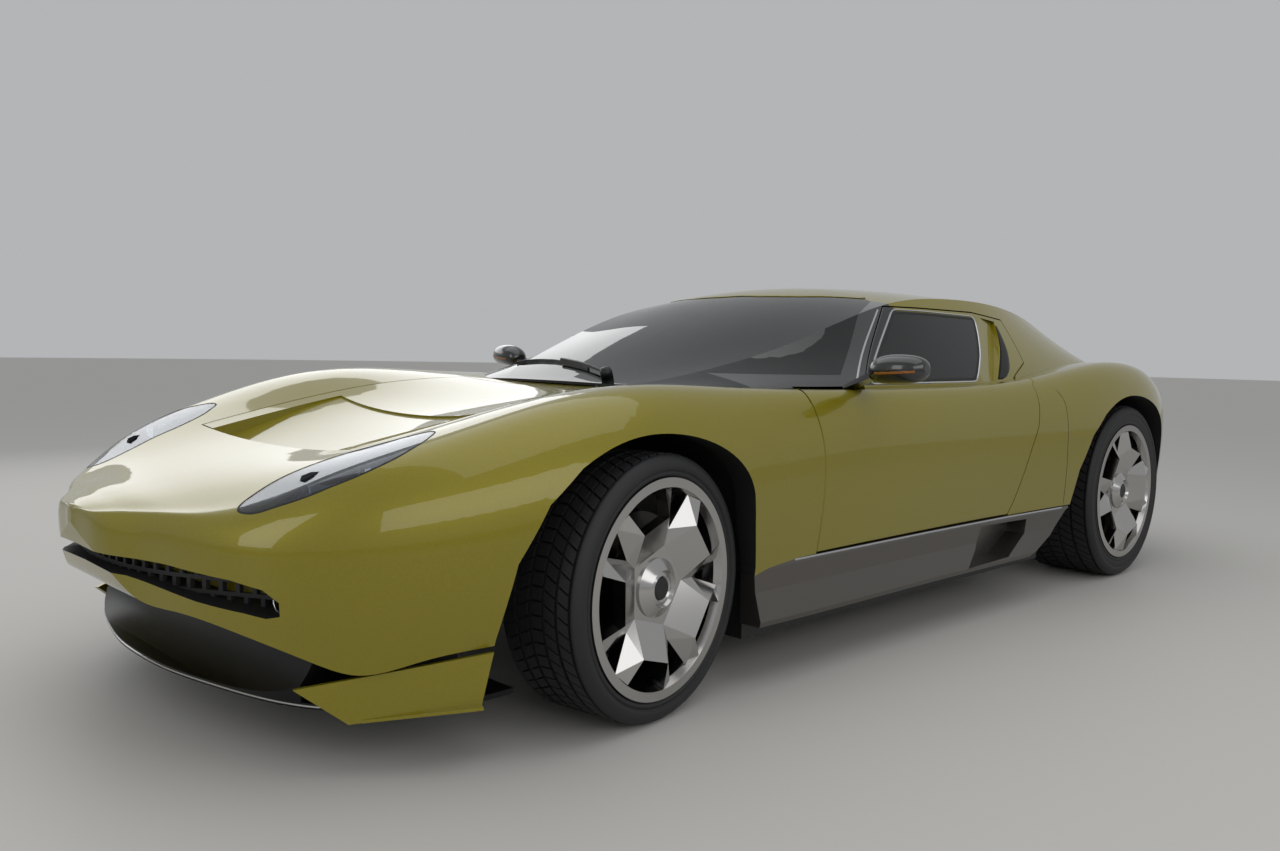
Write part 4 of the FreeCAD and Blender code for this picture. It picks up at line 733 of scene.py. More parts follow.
# hard-coated clear plastic: all inside it shows, under a sharp reflection
cover_clear = shader("clear_polycarbonate", "#a9b3c0", {
    "Roughness": 0.01, "IOR": 1.58, "Transmission Weight": 1.0})[0]
dress(cover_clear, "headlight_covers")
# pressed glass: clear, with a bright rim where it bends light
lens_glass = shader("pressed_lens_glass", "#eef3f6", {"Roughness": 0.0, "Transmission Weight": 1.0})[0]
# vacuum-metallised plastic: a dark mirror with a faint ripple
chromed = grained("chromed_plastic", "#c3c5c9", {"Metallic": 1.0, "Roughness": 0.06}, 8.0, 0.02, 0.1)
# metallic grey moulding: the fins catch soft edges of light
housing = grained("metallic_grey_moulding", "#2c2f35", {"Metallic": 0.5, "Roughness": 0.3},
                  TRIM_GRAIN_MM, 0.15, 0.15)
# opal acrylic, lit from behind: an even white block
guide_white = shader("opal_acrylic", GUIDE_WHITE, {"Roughness": 0.2, "Emission Color": linear(GUIDE_WHITE),
                                                   "Emission Strength": 0.35})[0]


def turned(name, radius, profile, steps, material):
    """A lathed piece whose profile is given inwards from a radius; None lies on the axis."""
    points = [(0.0 if inset is None else radius - inset, y) for inset, y in profile]
    return lathe(name, points, steps, material)


lamp_pieces = []
for place, radius in PROJECTORS:
    bezel = turned("bezel", radius, BEZEL_PROFILE, 40, chromed)
    lens = turned("lens", radius, LENS_PROFILE, 40, lens_glass)
    for piece in (bezel, lens):
        set_down(piece, facing(place, PROJECTOR_AIM))
        lamp_pieces.append(piece)
for line in FINS:
    floor_spots = from_above(["headlight_units"], spaced([(x, y, 0) for x, y in line], FIN_SPACING))
    spots = [(point, Vector((0, 0, 1))) for point, normal in floor_spots]
    lamp_pieces.append(rail("fin", spots, FIN_WIDTH, TRIM_SUNK, FIN_HEIGHT, housing, crown=0.35))
x, y, z = GUIDE_PLACE
length, width, height = GUIDE_SIZE
guide_points = [(x + a * length, y + b * width / 2 + a * GUIDE_SWEEP, z + c * height / 2)
                for a in (-1, 0, 1) for b in (-1, 1) for c in (-1, 1)]
guide_edges = ((0, 1), (1, 3), (3, 2), (2, 0))
guide_faces = [(0, 1, 3, 2), (8, 9, 11, 10)]
guide_faces += [(k + i, k + j, k + 4 + j, k + 4 + i) for k in (0, 4) for i, j in guide_edges]
lamp_pieces.append(shape("guide", guide_points, guide_faces, guide_white))
lamp_left = joined("headlight_internals_left", lamp_pieces)
outline = link_object("outline", bpy.data.curves.new("outline", "CURVE"))
outline.data.resolution_u = 8
spline = outline.data.splines.new("BEZIER")
spline.bezier_points.add(len(LAMP_OUTLINE) - 1)
for knot, (x, y) in zip(spline.bezier_points, LAMP_OUTLINE):
    knot.co = (x, y, 0)
    knot.handle_left_type = knot.handle_right_type = "AUTO"
spline.use_cyclic_u = True
bpy.context.view_layer.update()
lamp_line = [vertex.co.copy() for vertex in bpy.data.meshes.new_from_object(outline).vertices]
bpy.data.objects.remove(outline)
seal_spots = from_above(["headlight_covers", "front_body"], lamp_line)
seal_left = rail("headlight_seal_left", seal_spots, LAMP_SEAL_WIDTH, TRIM_SUNK, LAMP_SEAL_HEIGHT, seal_rubber,
                 closed=True)
for piece, slot in ((lamp_left, "chrome"), (seal_left, "black_trim")):
    other = mirrored_copy(piece, piece.name.replace("left", "right"))
    for item in (piece, other):
        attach(item, "root")

# Wheels
# One-piece forged aluminium wheels, machined into flat facets and polished. The vented iron disc behind
# the spokes is bolted to the hub; a chromed centre-lock nut holds the wheel.
POLISHED_COLOUR, DISC_COLOUR = "#b8b6b4", "#4b4a49"
POLISH_MM, DISC_RING_MM = 3.0, 3.5
DISC_RADIUS, DISC_BEHIND_FACE = 0.186, 0.066
# name of the spin joint, outward direction, tyre radius, tyre width, rim face from the joint
CORNERS = [
    ("front_wheel_left_spin", 1, 0.329, 0.245, 0.158), ("front_wheel_right_spin", -1, 0.329, 0.245, 0.158),
    ("rear_wheel_left_spin", 1, 0.350, 0.320, 0.211), ("rear_wheel_right_spin", -1, 0.350, 0.320, 0.211),
]
joints = {joint["name"]: joint for joint in frame["joints"]}
hubs = []
for joint_name, outward, radius, width, face in CORNERS:
    axis = Vector(joints[joint_name]["axis"]) * outward
    tag = joint_name.replace("_wheel", "").replace("_spin", "")
    hubs.append((joints[joint_name], tag, axis, radius, width, face))
for joint, tag, axis, radius, width, face in hubs:
    # the alloy is a soft mirror; the disc behind it shows the fine rings that its pads leave
    polished, tree, output = new_material("polished_aluminium_" + tag)
    place = add(tree, "ShaderNodeTexCoord").outputs["Object"]
    offset = add(tree, VECTOR, {"operation": "SUBTRACT"}, place, joint["pos_m"]).outputs[0]
    depth = add(tree, VECTOR, {"operation": "DOT_PRODUCT"}, offset, axis).outputs["Value"]
    across = add(tree, VECTOR, {"operation": "CROSS_PRODUCT"}, offset, axis).outputs[0]
    reach = add(tree, VECTOR, {"operation": "LENGTH"}, across).outputs["Value"]
    turns = add(tree, MATH, {"operation": "MULTIPLY"}, reach, 2 * math.pi * 1000 / DISC_RING_MM).outputs[0]
    rings = add(tree, MATH, {"operation": "SINE"}, turns).outputs[0]
    relief = add(tree, "ShaderNodeBump", {"Strength": 0.15, "Distance": 0.0001, "Height": rings}).outputs[0]
    alloy = add(tree, "ShaderNodeBsdfPrincipled", {
        "Base Color": linear(POLISHED_COLOUR), "Metallic": 1.0, "Roughness": 0.16,
        "Normal": grain(tree, place, POLISH_MM, 0.03, 0.2)})
    iron = add(tree, "ShaderNodeBsdfPrincipled", {
        "Base Color": linear(DISC_COLOUR), "Metallic": 1.0, "Roughness": 0.38, "Normal": relief})
    is_disc = within(tree, [(reach, None, DISC_RADIUS), (depth, None, face - DISC_BEHIND_FACE)])
    finish = add(tree, "ShaderNodeMixShader", {}, is_disc, alloy.outputs[0], iron.outputs[0])
    tree.links.new(finish.outputs[0], output.inputs["Surface"])
    dress(polished, "wheel_" + tag)

# Tyres
# Low-profile radial road tyres of black rubber, moulded with four straight grooves and slanted blocks
# between them; the sidewall has a rib that guards the rim and fine moulded rings.
TYRE_COLOUR = "#1d1d1f"
GROOVE_DEPTH, GROOVE_WIDTH = 0.007, 0.010
SHOULDER, BEAD, RIM_LIP, TYRE_PROUD = 0.030, 0.256, 0.2715, 0.004
# the rib that guards the rim: distance beyond the lip, and behind the tyre's side
RIM_RIB = [(0.001, 0.016), (0.004, 0.007), (0.010, 0.004), (0.014, 0.0045), (0.016, 0.007), (0.0185, 0.007)]
# the ring below the shoulder, in the same way
SIDE_RING = [(-0.008, 0.001), (-0.0065, 0.0022), (-0.005, 0.0006)]
SHOULDER_BEND = [(SHOULDER * math.sin(angle), SHOULDER - SHOULDER * math.cos(angle))
                 for angle in map(math.radians, (0, 12, 26, 42, 58, 72))]
TREAD_PITCHES, RIBS, SLOT_SHARE, SLANT = 62, 5, 0.16, 0.5
BLOCK_ROOT, TREAD_OVERLAP, GROOVE_EDGE = 0.002, 0.016, 0.006
CARCASS_STEPS = 128
# cured rubber: dark grey, dry, and lighter at a glancing angle
rubber = grained("moulded_tyre_rubber", TYRE_COLOUR, {"Roughness": 0.62}, 1.2, 0.2, 0.2)


def on_hub(joint, axis):
    """The matrix that puts a piece turned about Y on a wheel's joint, facing outwards."""
    matrix = Matrix((axis.cross(Vector((0, 0, 1))), axis, Vector((0, 0, 1)))).transposed().to_4x4()
    matrix.translation = joint["pos_m"]
    return matrix


for joint, tag, axis, radius, width, face in hubs:
    outer = face + TYRE_PROUD
    middle, base, neck = outer - width / 2, radius - GROOVE_DEPTH, radius - SHOULDER
    side_out = [(BEAD, outer - RIM_RIB[0][1])]
    side_out += [(RIM_LIP + out, outer - back) for out, back in RIM_RIB]
    side_out += [(neck + out, outer - back) for out, back in SIDE_RING + SHOULDER_BEND]
    side_out.append((base, outer - SHOULDER + GROOVE_EDGE))
    profile = side_out + [(r, 2 * middle - y) for r, y in reversed(side_out)]
    carcass = lathe("carcass", profile, CARCASS_STEPS, rubber)
    rib_span = (width - 2 * SHOULDER + TREAD_OVERLAP) / RIBS
    pitch = 2 * math.pi / TREAD_PITCHES
    points, faces = [], []
    for rib in range(RIBS):
        low = middle + (rib - RIBS / 2) * rib_span + GROOVE_WIDTH / 2
        first = len(points)
        for level in (base - BLOCK_ROOT, radius):
            for y in (low, low + rib_span - GROOVE_WIDTH):
                for share in (0.0, 0.5 - SLOT_SHARE / 2, 1 - SLOT_SHARE):
                    angle = SLANT * abs(y - middle) / radius + pitch * share
                    points.append((level * math.sin(angle), y, level * math.cos(angle)))
        low_in, high_in, low_top, high_top = ([first + row * 3 + k for k in range(3)] for row in range(4))
        for k in (0, 1):
            for one, two in ((low_top, high_top), (low_in, low_top), (high_in, high_top), (low_in, high_in)):
                faces.append((one[k], one[k + 1], two[k + 1], two[k]))
        faces += [(low_in[k], high_in[k], high_top[k], low_top[k]) for k in (0, 2)]
    block_row = shape("block_row", points, faces, rubber)
    tread = repeated(block_row, TREAD_PITCHES, pitch, (0, 0, 0), rubber)
    tyre = joined("road_tyre_" + tag, [carcass, tread])
    set_down(tyre, on_hub(joint, axis))
    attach(tyre, joint["child"])
    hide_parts("tyre_" + tag)

# Wheel centres
# A satin black cap closes the bore of each centre-lock nut. A short valve with a black rubber cap stands
# in the rim between two spokes.
CAP_DEPTH = 0.0095
# radius, and height over the cap's rim
CAP_PROFILE = [(0.0, -0.0065), (0.0275, -0.0065), (0.0275, -0.001), (0.0255, 0.0), (0.012, -0.0015),
               (0.0, -0.0015)]
# radius and height from the root
VALVE_PROFILE = [(0.0, -0.012), (0.0045, -0.012), (0.0045, 0.006), (0.003, 0.008), (0.003, 0.018),
                 (0.0, 0.018)]
VALVE_FROM_AXLE, VALVE_FROM_FACE, VALVE_LEAN = 0.236, 0.020, -20
for joint, tag, axis, radius, width, face in hubs:
    cap_profile = [(radius, face - CAP_DEPTH + y) for radius, y in CAP_PROFILE]
    cap = lathe("cap", cap_profile, 32, satin_black)
    valve = lathe("valve", VALVE_PROFILE, 12, satin_black)
    lean = Matrix.Rotation(math.radians(VALVE_LEAN), 4, "X")
    set_down(valve, Matrix.Translation((0, face - VALVE_FROM_FACE, -VALVE_FROM_AXLE)) @ lean)
    hardware = joined("wheel_cap_and_valve_" + tag, [cap, valve])
    set_down(hardware, on_hub(joint, axis))
    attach(hardware, joint["child"])

# Sills and splitter
# The sill blades are aluminium sheet, brushed along their length and anodised dark, with a polished top
# edge. The splitter's lip carries a thin aluminium wear strip round its front.
SILL_COLOUR = "#6b6763"
BRUSH_MM, BRUSH_LENGTH_MM = 1.2, 60.0
SILL_EDGE_Z, SILL_EDGE_WIDTH, SILL_EDGE_RISE, SILL_EDGE_TILT = 0.3305, 0.006, 0.0016, (0.8, 0.6)
SPLITTER_EDGE_Z, LIP_WIDTH, LIP_SUNK, LIP_RISE = 0.154, 0.005, -0.0005, 0.0012
# brush lines run along the sill and draw each highlight out
brushed, tree, surface = shader("brushed_anodised_aluminium", SILL_COLOUR, {
    "Metallic": 0.9, "Roughness": 0.32})
place = add(tree, "ShaderNodeTexCoord").outputs["Object"]
stretch = {"Scale": (BRUSH_MM / BRUSH_LENGTH_MM, 1, 1), "Vector": place}
stretched = add(tree, "ShaderNodeMapping", stretch).outputs[0]
strokes = {"Scale": 1000 / BRUSH_MM, "Detail": 3.0, "Vector": stretched}
brush_lines = add(tree, "ShaderNodeTexNoise", strokes).outputs[0]
relief = add(tree, "ShaderNodeBump", {"Strength": 0.25, "Distance": 0.00015, "Height": brush_lines})
roughness = add(tree, MATH, {"operation": "MULTIPLY_ADD"}, brush_lines, 0.2, 0.24)
tree.links.new(relief.outputs[0], surface.inputs["Normal"])
tree.links.new(roughness.outputs[0], surface.inputs["Roughness"])
dress(brushed, "sills")
# bare edge, rubbed bright
edge_alloy = grained("polished_edge_aluminium", "#c4c5c7", {"Metallic": 1.0, "Roughness": 0.2},
                     2.0, 0.05, 0.1)
sill_edges = []
for side in (1, -1):
    up_and_out = Vector((0, side * SILL_EDGE_TILT[0], SILL_EDGE_TILT[1]))
    spots = on_side(["sills"], [(x / 100, SILL_EDGE_Z) for x in range(85, -92, -3)], side)
    sill_edges.append(rail("edge", [(point, up_and_out) for point, normal in spots], SILL_EDGE_WIDTH,
                           TRIM_SUNK, SILL_EDGE_RISE, edge_alloy))
sill_trim = joined("sill_edge_strips", sill_edges)
lip = [touch(["splitter"], (3.0, y / 100, SPLITTER_EDGE_Z), (-1, 0, 0)) for y in range(-76, 78, 2)]
lip_spots = [spot for spot in lip if spot]
lip_strip = rail("splitter_edge_strip", lip_spots, LIP_WIDTH, LIP_SUNK, LIP_RISE, edge_alloy)
for piece in (sill_trim, lip_strip):
    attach(piece, "root")

# Mouth ducts
# A satin aluminium ring is pressed over the front of each round brake duct in the corners of the mouth.
# It is turned from thin tube, and its rolled lip faces the air.
DUCT_FRONT, DUCT_RADIUS = (2.060, 0.550, 0.376), 0.029
DUCT_PROFILE = [(0.004, -0.006), (-0.0006, -0.006), (-0.0006, 0.001), (0.001, 0.003), (0.003, 0.003),
                (0.0045, 0.001)]
duct_ring = turned("duct_ring_left", DUCT_RADIUS, DUCT_PROFILE, 40, edge_alloy)
set_down(duct_ring, facing(DUCT_FRONT, (1, 0, 0)))
for item in (duct_ring, mirrored_copy(duct_ring, "duct_ring_right")):
    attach(item, "root")

# Seats
# Bucket seats: foam over a moulded shell, covered in black grained leather, with a sunk centre panel sewn
# into cross channels and a raised roll on each side that holds the driver.
LEATHER_COLOUR, THREAD_COLOUR = "#1b1a19", "#8d8a4a"
LEATHER_GRAIN_MM, CREASE_MM = 1.6, 40.0
# the face from the front edge up to the headrest: x, z, half width, height of the side roll
SEAT_LINE = [(0.092, 0.215, 0.205, 0.000), (0.104, 0.290, 0.215, 0.003), (0.098, 0.328, 0.220, 0.006),
             (0.062, 0.338, 0.224, 0.012), (-0.060, 0.308, 0.227, 0.026), (-0.200, 0.284, 0.227, 0.033),
             (-0.310, 0.268, 0.227, 0.036), (-0.362, 0.296, 0.227, 0.040), (-0.392, 0.400, 0.225, 0.044),
             (-0.430, 0.540, 0.220, 0.044), (-0.466, 0.660, 0.200, 0.032), (-0.492, 0.735, 0.158, 0.014),
             (-0.513, 0.790, 0.136, 0.008), (-0.536, 0.845, 0.126, 0.004), (-0.560, 0.868, 0.118, 0.000)]
# the back, down from the headrest and under the cushion: x, z, half width
SEAT_BACK = [(-0.588, 0.866, 0.116), (-0.600, 0.838, 0.122), (-0.588, 0.760, 0.150), (-0.565, 0.640, 0.200),
             (-0.545, 0.480, 0.218), (-0.530, 0.320, 0.222), (-0.516, 0.175, 0.218), (-0.495, 0.160, 0.214),
             (-0.250, 0.158, 0.210), (0.040, 0.160, 0.205), (0.078, 0.172, 0.203)]
SEAT_MIDDLE_Y, FACE_SPACING, BACK_SPACING = 0.360, 0.010, 0.035
# shares of the half width: the sewn panel, the foot of the side roll, its whole span, the edge's rounding
PANEL_SHARE, ROLL_FOOT, ROLL_SPAN, EDGE_SHARE = 0.60, 0.52, 0.72, 0.83
ROLL_SHAPE, EDGE_DROP, EDGE_SHRINK, PANEL_CROWN = 1.3, 0.02, 0.03, 0.006
CHANNEL_PITCH, CHANNEL_WIDTH, CHANNEL_DEPTH, CHANNELS_FROM = 0.055, 0.014, 0.007, 0.13
SEAM_WIDTH, SEAM_DEPTH = 0.05, 0.006
# the columns of the left half of the cover, closer together at the edge and the seam
SEAT_COLUMNS = [-1.0, -0.985, -0.95, -0.90, -0.83, -0.75, -0.69, -0.645, -0.62, -0.60, -0.58, -0.54,
                -0.45, -0.33, -0.20, -0.07]
STITCH_SHARE, STITCH_MARGIN, STITCH_LIFT = 0.655, 14, 0.0005
STITCH_LENGTH, STITCH_WIDTH, STITCH_HEIGHT = 0.006, 0.0014, 0.0012
# pebbled hide: a broken sheen, worn smoother in patches
leather, tree, surface = shader("grained_leather", LEATHER_COLOUR, {
    "Roughness": 0.48, "Specular IOR Level": 0.4})
place = add(tree, "ShaderNodeTexCoord").outputs["Object"]
cells = {"feature": "DISTANCE_TO_EDGE", "Scale": 1000 / LEATHER_GRAIN_MM, "Vector": place}
pebbles = add(tree, "ShaderNodeTexVoronoi", cells).outputs["Distance"]
relief = add(tree, "ShaderNodeBump", {"Strength": 0.35, "Distance": 0.00025, "Height": pebbles})
wear = add(tree, "ShaderNodeTexNoise", {"Scale": 1000 / CREASE_MM, "Detail": 2.0, "Vector": place}).outputs[0]
roughness = add(tree, MATH, {"operation": "MULTIPLY_ADD"}, wear, 0.2, 0.38)
tree.links.new(relief.outputs[0], surface.inputs["Normal"])
tree.links.new(roughness.outputs[0], surface.inputs["Roughness"])
# waxed thread, lighter than the hide, so the seam reads as a row of dashes
thread = grained("waxed_sewing_thread", THREAD_COLOUR, {"Roughness": 0.6}, 0.6, 0.4, 0.1)


def dense(rows, spacing):
    """Rows of numbers that start with x and z, with smooth rows between them."""
    result = []
    for index in range(len(rows) - 1):
        four = [rows[min(max(index + k, 0), len(rows) - 1)] for k in (-1, 0, 1, 2)]
        steps = max(1, round(math.dist(four[1][:2], four[2][:2]) / spacing))
        for t in (step / steps for step in range(steps)):
            weights = (-t + 2 * t ** 2 - t ** 3, 2 - 5 * t ** 2 + 3 * t ** 3,
                       t + 4 * t ** 2 - 3 * t ** 3, t ** 3 - t ** 2)
            result.append([sum(w * v for w, v in zip(weights, column)) / 2 for column in zip(*four)])
    return result + [list(rows[-1])]


def crease(distance, width):
    """1 in the middle of a seam, falling to 0 on both sides."""
    return max(0.0, 1 - abs(distance) / width) ** 2


def side_roll(share):
    """The height of the side roll, as a share of its top, across the seat."""
    return math.sin(math.pi * min(1.0, max(0.0, (abs(share) - ROLL_FOOT) / ROLL_SPAN))) ** ROLL_SHAPE


face_rows = dense(SEAT_LINE, FACE_SPACING)
back_rows = dense(SEAT_BACK, BACK_SPACING)
outwards = []
for index in range(len(face_rows)):
    before, after = face_rows[max(index - 1, 0)], face_rows[min(index + 1, len(face_rows) - 1)]
    outwards.append(Vector((after[1] - before[1], 0, before[0] - after[0])).normalized())
walked = [0.0]
for before, after in zip(face_rows, face_rows[1:]):
    walked.append(walked[-1] + math.dist(before[:2], after[:2]))
seat_points, seat_faces = [], []
loop = len(face_rows) + len(back_rows)
middle_x, middle_z = (sum(row[k] for row in face_rows + back_rows) / loop for k in (0, 1))
columns = SEAT_COLUMNS + [-share for share in reversed(SEAT_COLUMNS)]
for share in columns:
    edge = max(0.0, (abs(share) - EDGE_SHARE) / (1 - EDGE_SHARE))
    shrink = EDGE_SHRINK * edge ** 3
    for (x, z, half, roll), out, distance in zip(face_rows, outwards, walked):
        height = roll * side_roll(share) - EDGE_DROP * edge ** 2
        if abs(share) < PANEL_SHARE:
            height += PANEL_CROWN * (1 - (share / PANEL_SHARE) ** 2)
            from_channel = (distance + 0.5 * CHANNEL_PITCH) % CHANNEL_PITCH - 0.5 * CHANNEL_PITCH
            height -= CHANNEL_DEPTH * crease(from_channel, CHANNEL_WIDTH) * (distance > CHANNELS_FROM)
        height -= SEAM_DEPTH * crease(abs(share) - PANEL_SHARE, SEAM_WIDTH)
        seat_points.append((x + out.x * height, SEAT_MIDDLE_Y + half * share, z + out.z * height))
    for x, z, half in back_rows:
        seat_points.append((x + (middle_x - x) * shrink, SEAT_MIDDLE_Y + half * share,
                            z + (middle_z - z) * shrink))
for column in range(len(columns) - 1):
    seat_faces += band(column * loop, (column + 1) * loop, loop)
last = (len(columns) - 1) * loop
seat_faces += [tuple(range(loop)), tuple(range(last + loop - 1, last - 1, -1))]
seat = shape("seat_cover_left", seat_points, seat_faces, leather, smooth=True)
stitch_points, stitch_faces = [], []
for sign in (-1, 1):
    for index in range(STITCH_MARGIN, len(face_rows) - STITCH_MARGIN):
        x, z, half, roll = face_rows[index]
        out = outwards[index]
        along = Vector((-out.z, 0, out.x))
        base = Vector((x, SEAT_MIDDLE_Y + half * sign * STITCH_SHARE, z))
        base += out * (roll * side_roll(STITCH_SHARE) + STITCH_LIFT)
        ahead = along * STITCH_LENGTH / 2
        side = along.cross(out) * STITCH_WIDTH / 2
        rise = out * STITCH_HEIGHT
        a = len(stitch_points)
        stitch_points += [base - ahead - side, base - ahead + side, base + ahead + side, base + ahead - side,
                          base + rise - ahead / 2, base + rise + ahead / 2]
        stitch_faces += [(a, a + 1, a + 4), (a + 1, a + 2, a + 5, a + 4), (a + 2, a + 3, a + 5),
                         (a + 3, a, a + 4, a + 5), (a, a + 3, a + 2, a + 1)]
stitches = shape("seat_stitches_left", stitch_points, stitch_faces, thread)
for item in (seat, stitches):
    other = mirrored_copy(item, item.name.replace("left", "right"))
    for piece, tag in ((item, "left"), (other, "right")):
        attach(piece, "root")
        if item is seat:
            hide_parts("seat_" + tag)

# Dashboard and controls
# The dashboard is foam over a moulded carrier, trimmed in the same leather. It holds two dials under the
# hood, round air vents with turned bezels, and the leather-wrapped steering wheel on its column.
DIAL_PLACES, DIAL_RADIUS, DIAL_AIM = [(0.4015, 0.300, 0.752), (0.4015, 0.420, 0.752)], 0.046, (-1, 0, -0.18)
DIAL_PROFILE = [(None, -0.012), (0.0, -0.012), (0.0, 0.0), (None, 0.0)]
DIAL_BEZEL = [(0.002, -0.010), (-0.004, -0.010), (-0.004, 0.004), (-0.001, 0.008), (0.002, 0.002)]
TICK_COUNT, TICK_STEP, TICK_START = 21, 13, -130
TICK_HALF, TICK_RISE, TICK_REACH = 0.0007, (0.0001, 0.0008), (0.034, 0.042)
NEEDLE_ANGLE = -115
NEEDLE_POINTS = [(-0.0012, 0.0015, -0.006), (0.0012, 0.0015, -0.006), (0.0004, 0.0015, 0.036),
                 (-0.0004, 0.0015, 0.036), (0.0, 0.0030, 0.0)]
NEEDLE_FACES = [(0, 1, 2, 3), (0, 1, 4), (1, 2, 4), (2, 3, 4), (3, 0, 4)]
VENT_PLACES = [(0.421, y, 0.678) for y in (0.610, 0.075, -0.075, -0.610)]
VENT_RADIUS, VENT_AIM = 0.030, (-1, 0, -0.2)
VENT_BEZEL = [(0.004, -0.010), (0.0, -0.010), (0.0, 0.003), (0.002, 0.005), (0.005, 0.003)]
VENT_BACK = [(None, -0.010), (0.004, -0.010), (0.004, -0.006), (None, -0.006)]
VANE_COUNT, VANE_PITCH, VANE_HALF, VANE_DEPTH = 5, 0.010, (0.024, 0.0008), (-0.005, 0.001)
VANE_FIRST, VANE_SLOPE = -0.020, 0.4
BOX_FACES = [(0, 1, 3, 2), (4, 5, 7, 6), (0, 1, 5, 4), (2, 3, 7, 6), (0, 2, 6, 4), (1, 3, 7, 5)]
dress(leather, "dashboard", "steering_wheel")
# matt print, dark enough to set off the white marks
dial_black = grained("printed_dial_face", "#0c0c0d", {"Roughness": 0.35}, 0.7, 0.1, 0.05)
# flat white ink without shine
dial_white = grained("white_dial_ink", "#e6e6e2", {"Roughness": 0.5}, 0.5, 0.1, 0.03)
controls = []
for place in DIAL_PLACES:
    tick_points = [(a * TICK_HALF, b, c) for a in (-1, 1) for b in TICK_RISE for c in TICK_REACH]
    tick = shape("tick", tick_points, BOX_FACES, dial_white)
    ticks = repeated(tick, TICK_COUNT, math.radians(TICK_STEP), (0, 0, 0), dial_white)
    set_down(ticks, Matrix.Rotation(math.radians(TICK_START), 4, "Y"))
    needle = shape("needle", NEEDLE_POINTS, NEEDLE_FACES, dial_white)
    set_down(needle, Matrix.Rotation(math.radians(NEEDLE_ANGLE), 4, "Y"))
    for piece in (turned("dial", DIAL_RADIUS, DIAL_PROFILE, 40, dial_black),
                  turned("bezel", DIAL_RADIUS, DIAL_BEZEL, 40, chromed), ticks, needle):
        set_down(piece, facing(place, DIAL_AIM))
        controls.append(piece)
for place in VENT_PLACES:
    vane_points = [(a * VANE_HALF[0], b, c * VANE_HALF[1] + VANE_FIRST + b * VANE_SLOPE)
                   for a in (-1, 1) for b in VANE_DEPTH for c in (-1, 1)]
    vane = shape("vane", vane_points, BOX_FACES, satin_black)
    vanes = repeated(vane, VANE_COUNT, 0.0, (0, 0, VANE_PITCH), satin_black)
    for piece in (turned("vent", VENT_RADIUS, VENT_BEZEL, 32, chromed),
                  turned("vent_back", VENT_RADIUS, VENT_BACK, 32, dial_black), vanes):
        set_down(piece, facing(place, VENT_AIM))
        controls.append(piece)
instruments = joined("dials_and_vents", controls)
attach(instruments, "root")

# Centre console and door trim
# A leather-trimmed console runs along the tunnel with an aluminium gear lever, and each door has a padded
# armrest on its inner face with a pull handle of satin aluminium.
LEVER_FOOT, LEVER_LEAN = (0.17, 0.0, 0.452), (-0.15, 0, 1)
# radius and height of the turned lever and its knob
LEVER_PROFILE = [(0.0, 0.0), (0.008, 0.0), (0.008, 0.055), (0.017, 0.066), (0.023, 0.080), (0.021, 0.093),
                 (0.012, 0.101), (0.0, 0.103)]
# lowest corner, highest corner, width of the rounded edge, rise of the middle
CONSOLE_BOX = ((-0.36, -0.088, 0.386), (0.46, 0.088, 0.440), 0.016, 0.012)
LEVER_PLATE = ((0.04, -0.055, 0.446), (0.30, 0.055, 0.454), 0.004, 0.0)
ARMREST_BOX = ((-0.36, 0.645, 0.520), (0.30, 0.699, 0.585), 0.014, 0.014)
HANDLE_BOX = ((0.16, 0.650, 0.625), (0.30, 0.664, 0.641), 0.005, 0.0)
POST_BOXES = [((x, 0.655, 0.627), (x + 0.012, 0.702, 0.639), 0.004, 0.0) for x in (0.166, 0.282)]


def soft_block(name, box, material):
    """A block between two corners with its edges rounded by subdivision and its middle lifted."""
    low, high, edge, bend = box
    form = bmesh.new()
    bmesh.ops.create_cube(form, size=1)
    size = [b - a for a, b in zip(low, high)]
    bmesh.ops.scale(form, vec=size, verts=form.verts)
    for axis in range(3):
        across = [float(k == axis) for k in range(3)]
        for cut in (edge - size[axis] / 2, size[axis] / 2 - edge, 0.0):
            bmesh.ops.bisect_plane(form, geom=form.verts[:] + form.edges[:] + form.faces[:],
                                   plane_co=[cut * share for share in across], plane_no=across)
    for vertex in form.verts:
        vertex.co.z += bend * (1 - (2 * vertex.co.x / size[0]) ** 2)
    bmesh.ops.translate(form, vec=[(a + b) / 2 for a, b in zip(low, high)], verts=form.verts)
    block = link_object(name + "_block", bpy.data.meshes.new(name))
    form.to_mesh(block.data)
    form.free()
    rounding = block.modifiers.new("rounding", "SUBSURF")
    rounding.levels = rounding.render_levels = 2
    bpy.context.view_layer.update()
    mesh = bpy.data.meshes.new_from_object(block.evaluated_get(bpy.context.evaluated_depsgraph_get()))
    bpy.data.objects.remove(block)
    for face in mesh.polygons:
        face.use_smooth = True
    mesh.materials.clear()
    mesh.materials.append(material)
    return link_object(name, mesh)


lever = lathe("lever", LEVER_PROFILE, 32, edge_alloy)
set_down(lever, facing(LEVER_FOOT, LEVER_LEAN))
console = joined("centre_console", [soft_block("console_body", CONSOLE_BOX, leather),
                                    soft_block("console_plate", LEVER_PLATE, gloss_black), lever])
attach(console, "root")
for side, tag in SIDES:
    metal = [soft_block("handle", box, edge_alloy) for box in [HANDLE_BOX] + POST_BOXES]
    card = joined("armrest_" + tag, [soft_block("armrest", ARMREST_BOX, leather)] + metal)
    if side < 0:
        set_down(card, Matrix.Scale(-1, 4, (0, 1, 0)))
    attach(card, "door_" + tag)

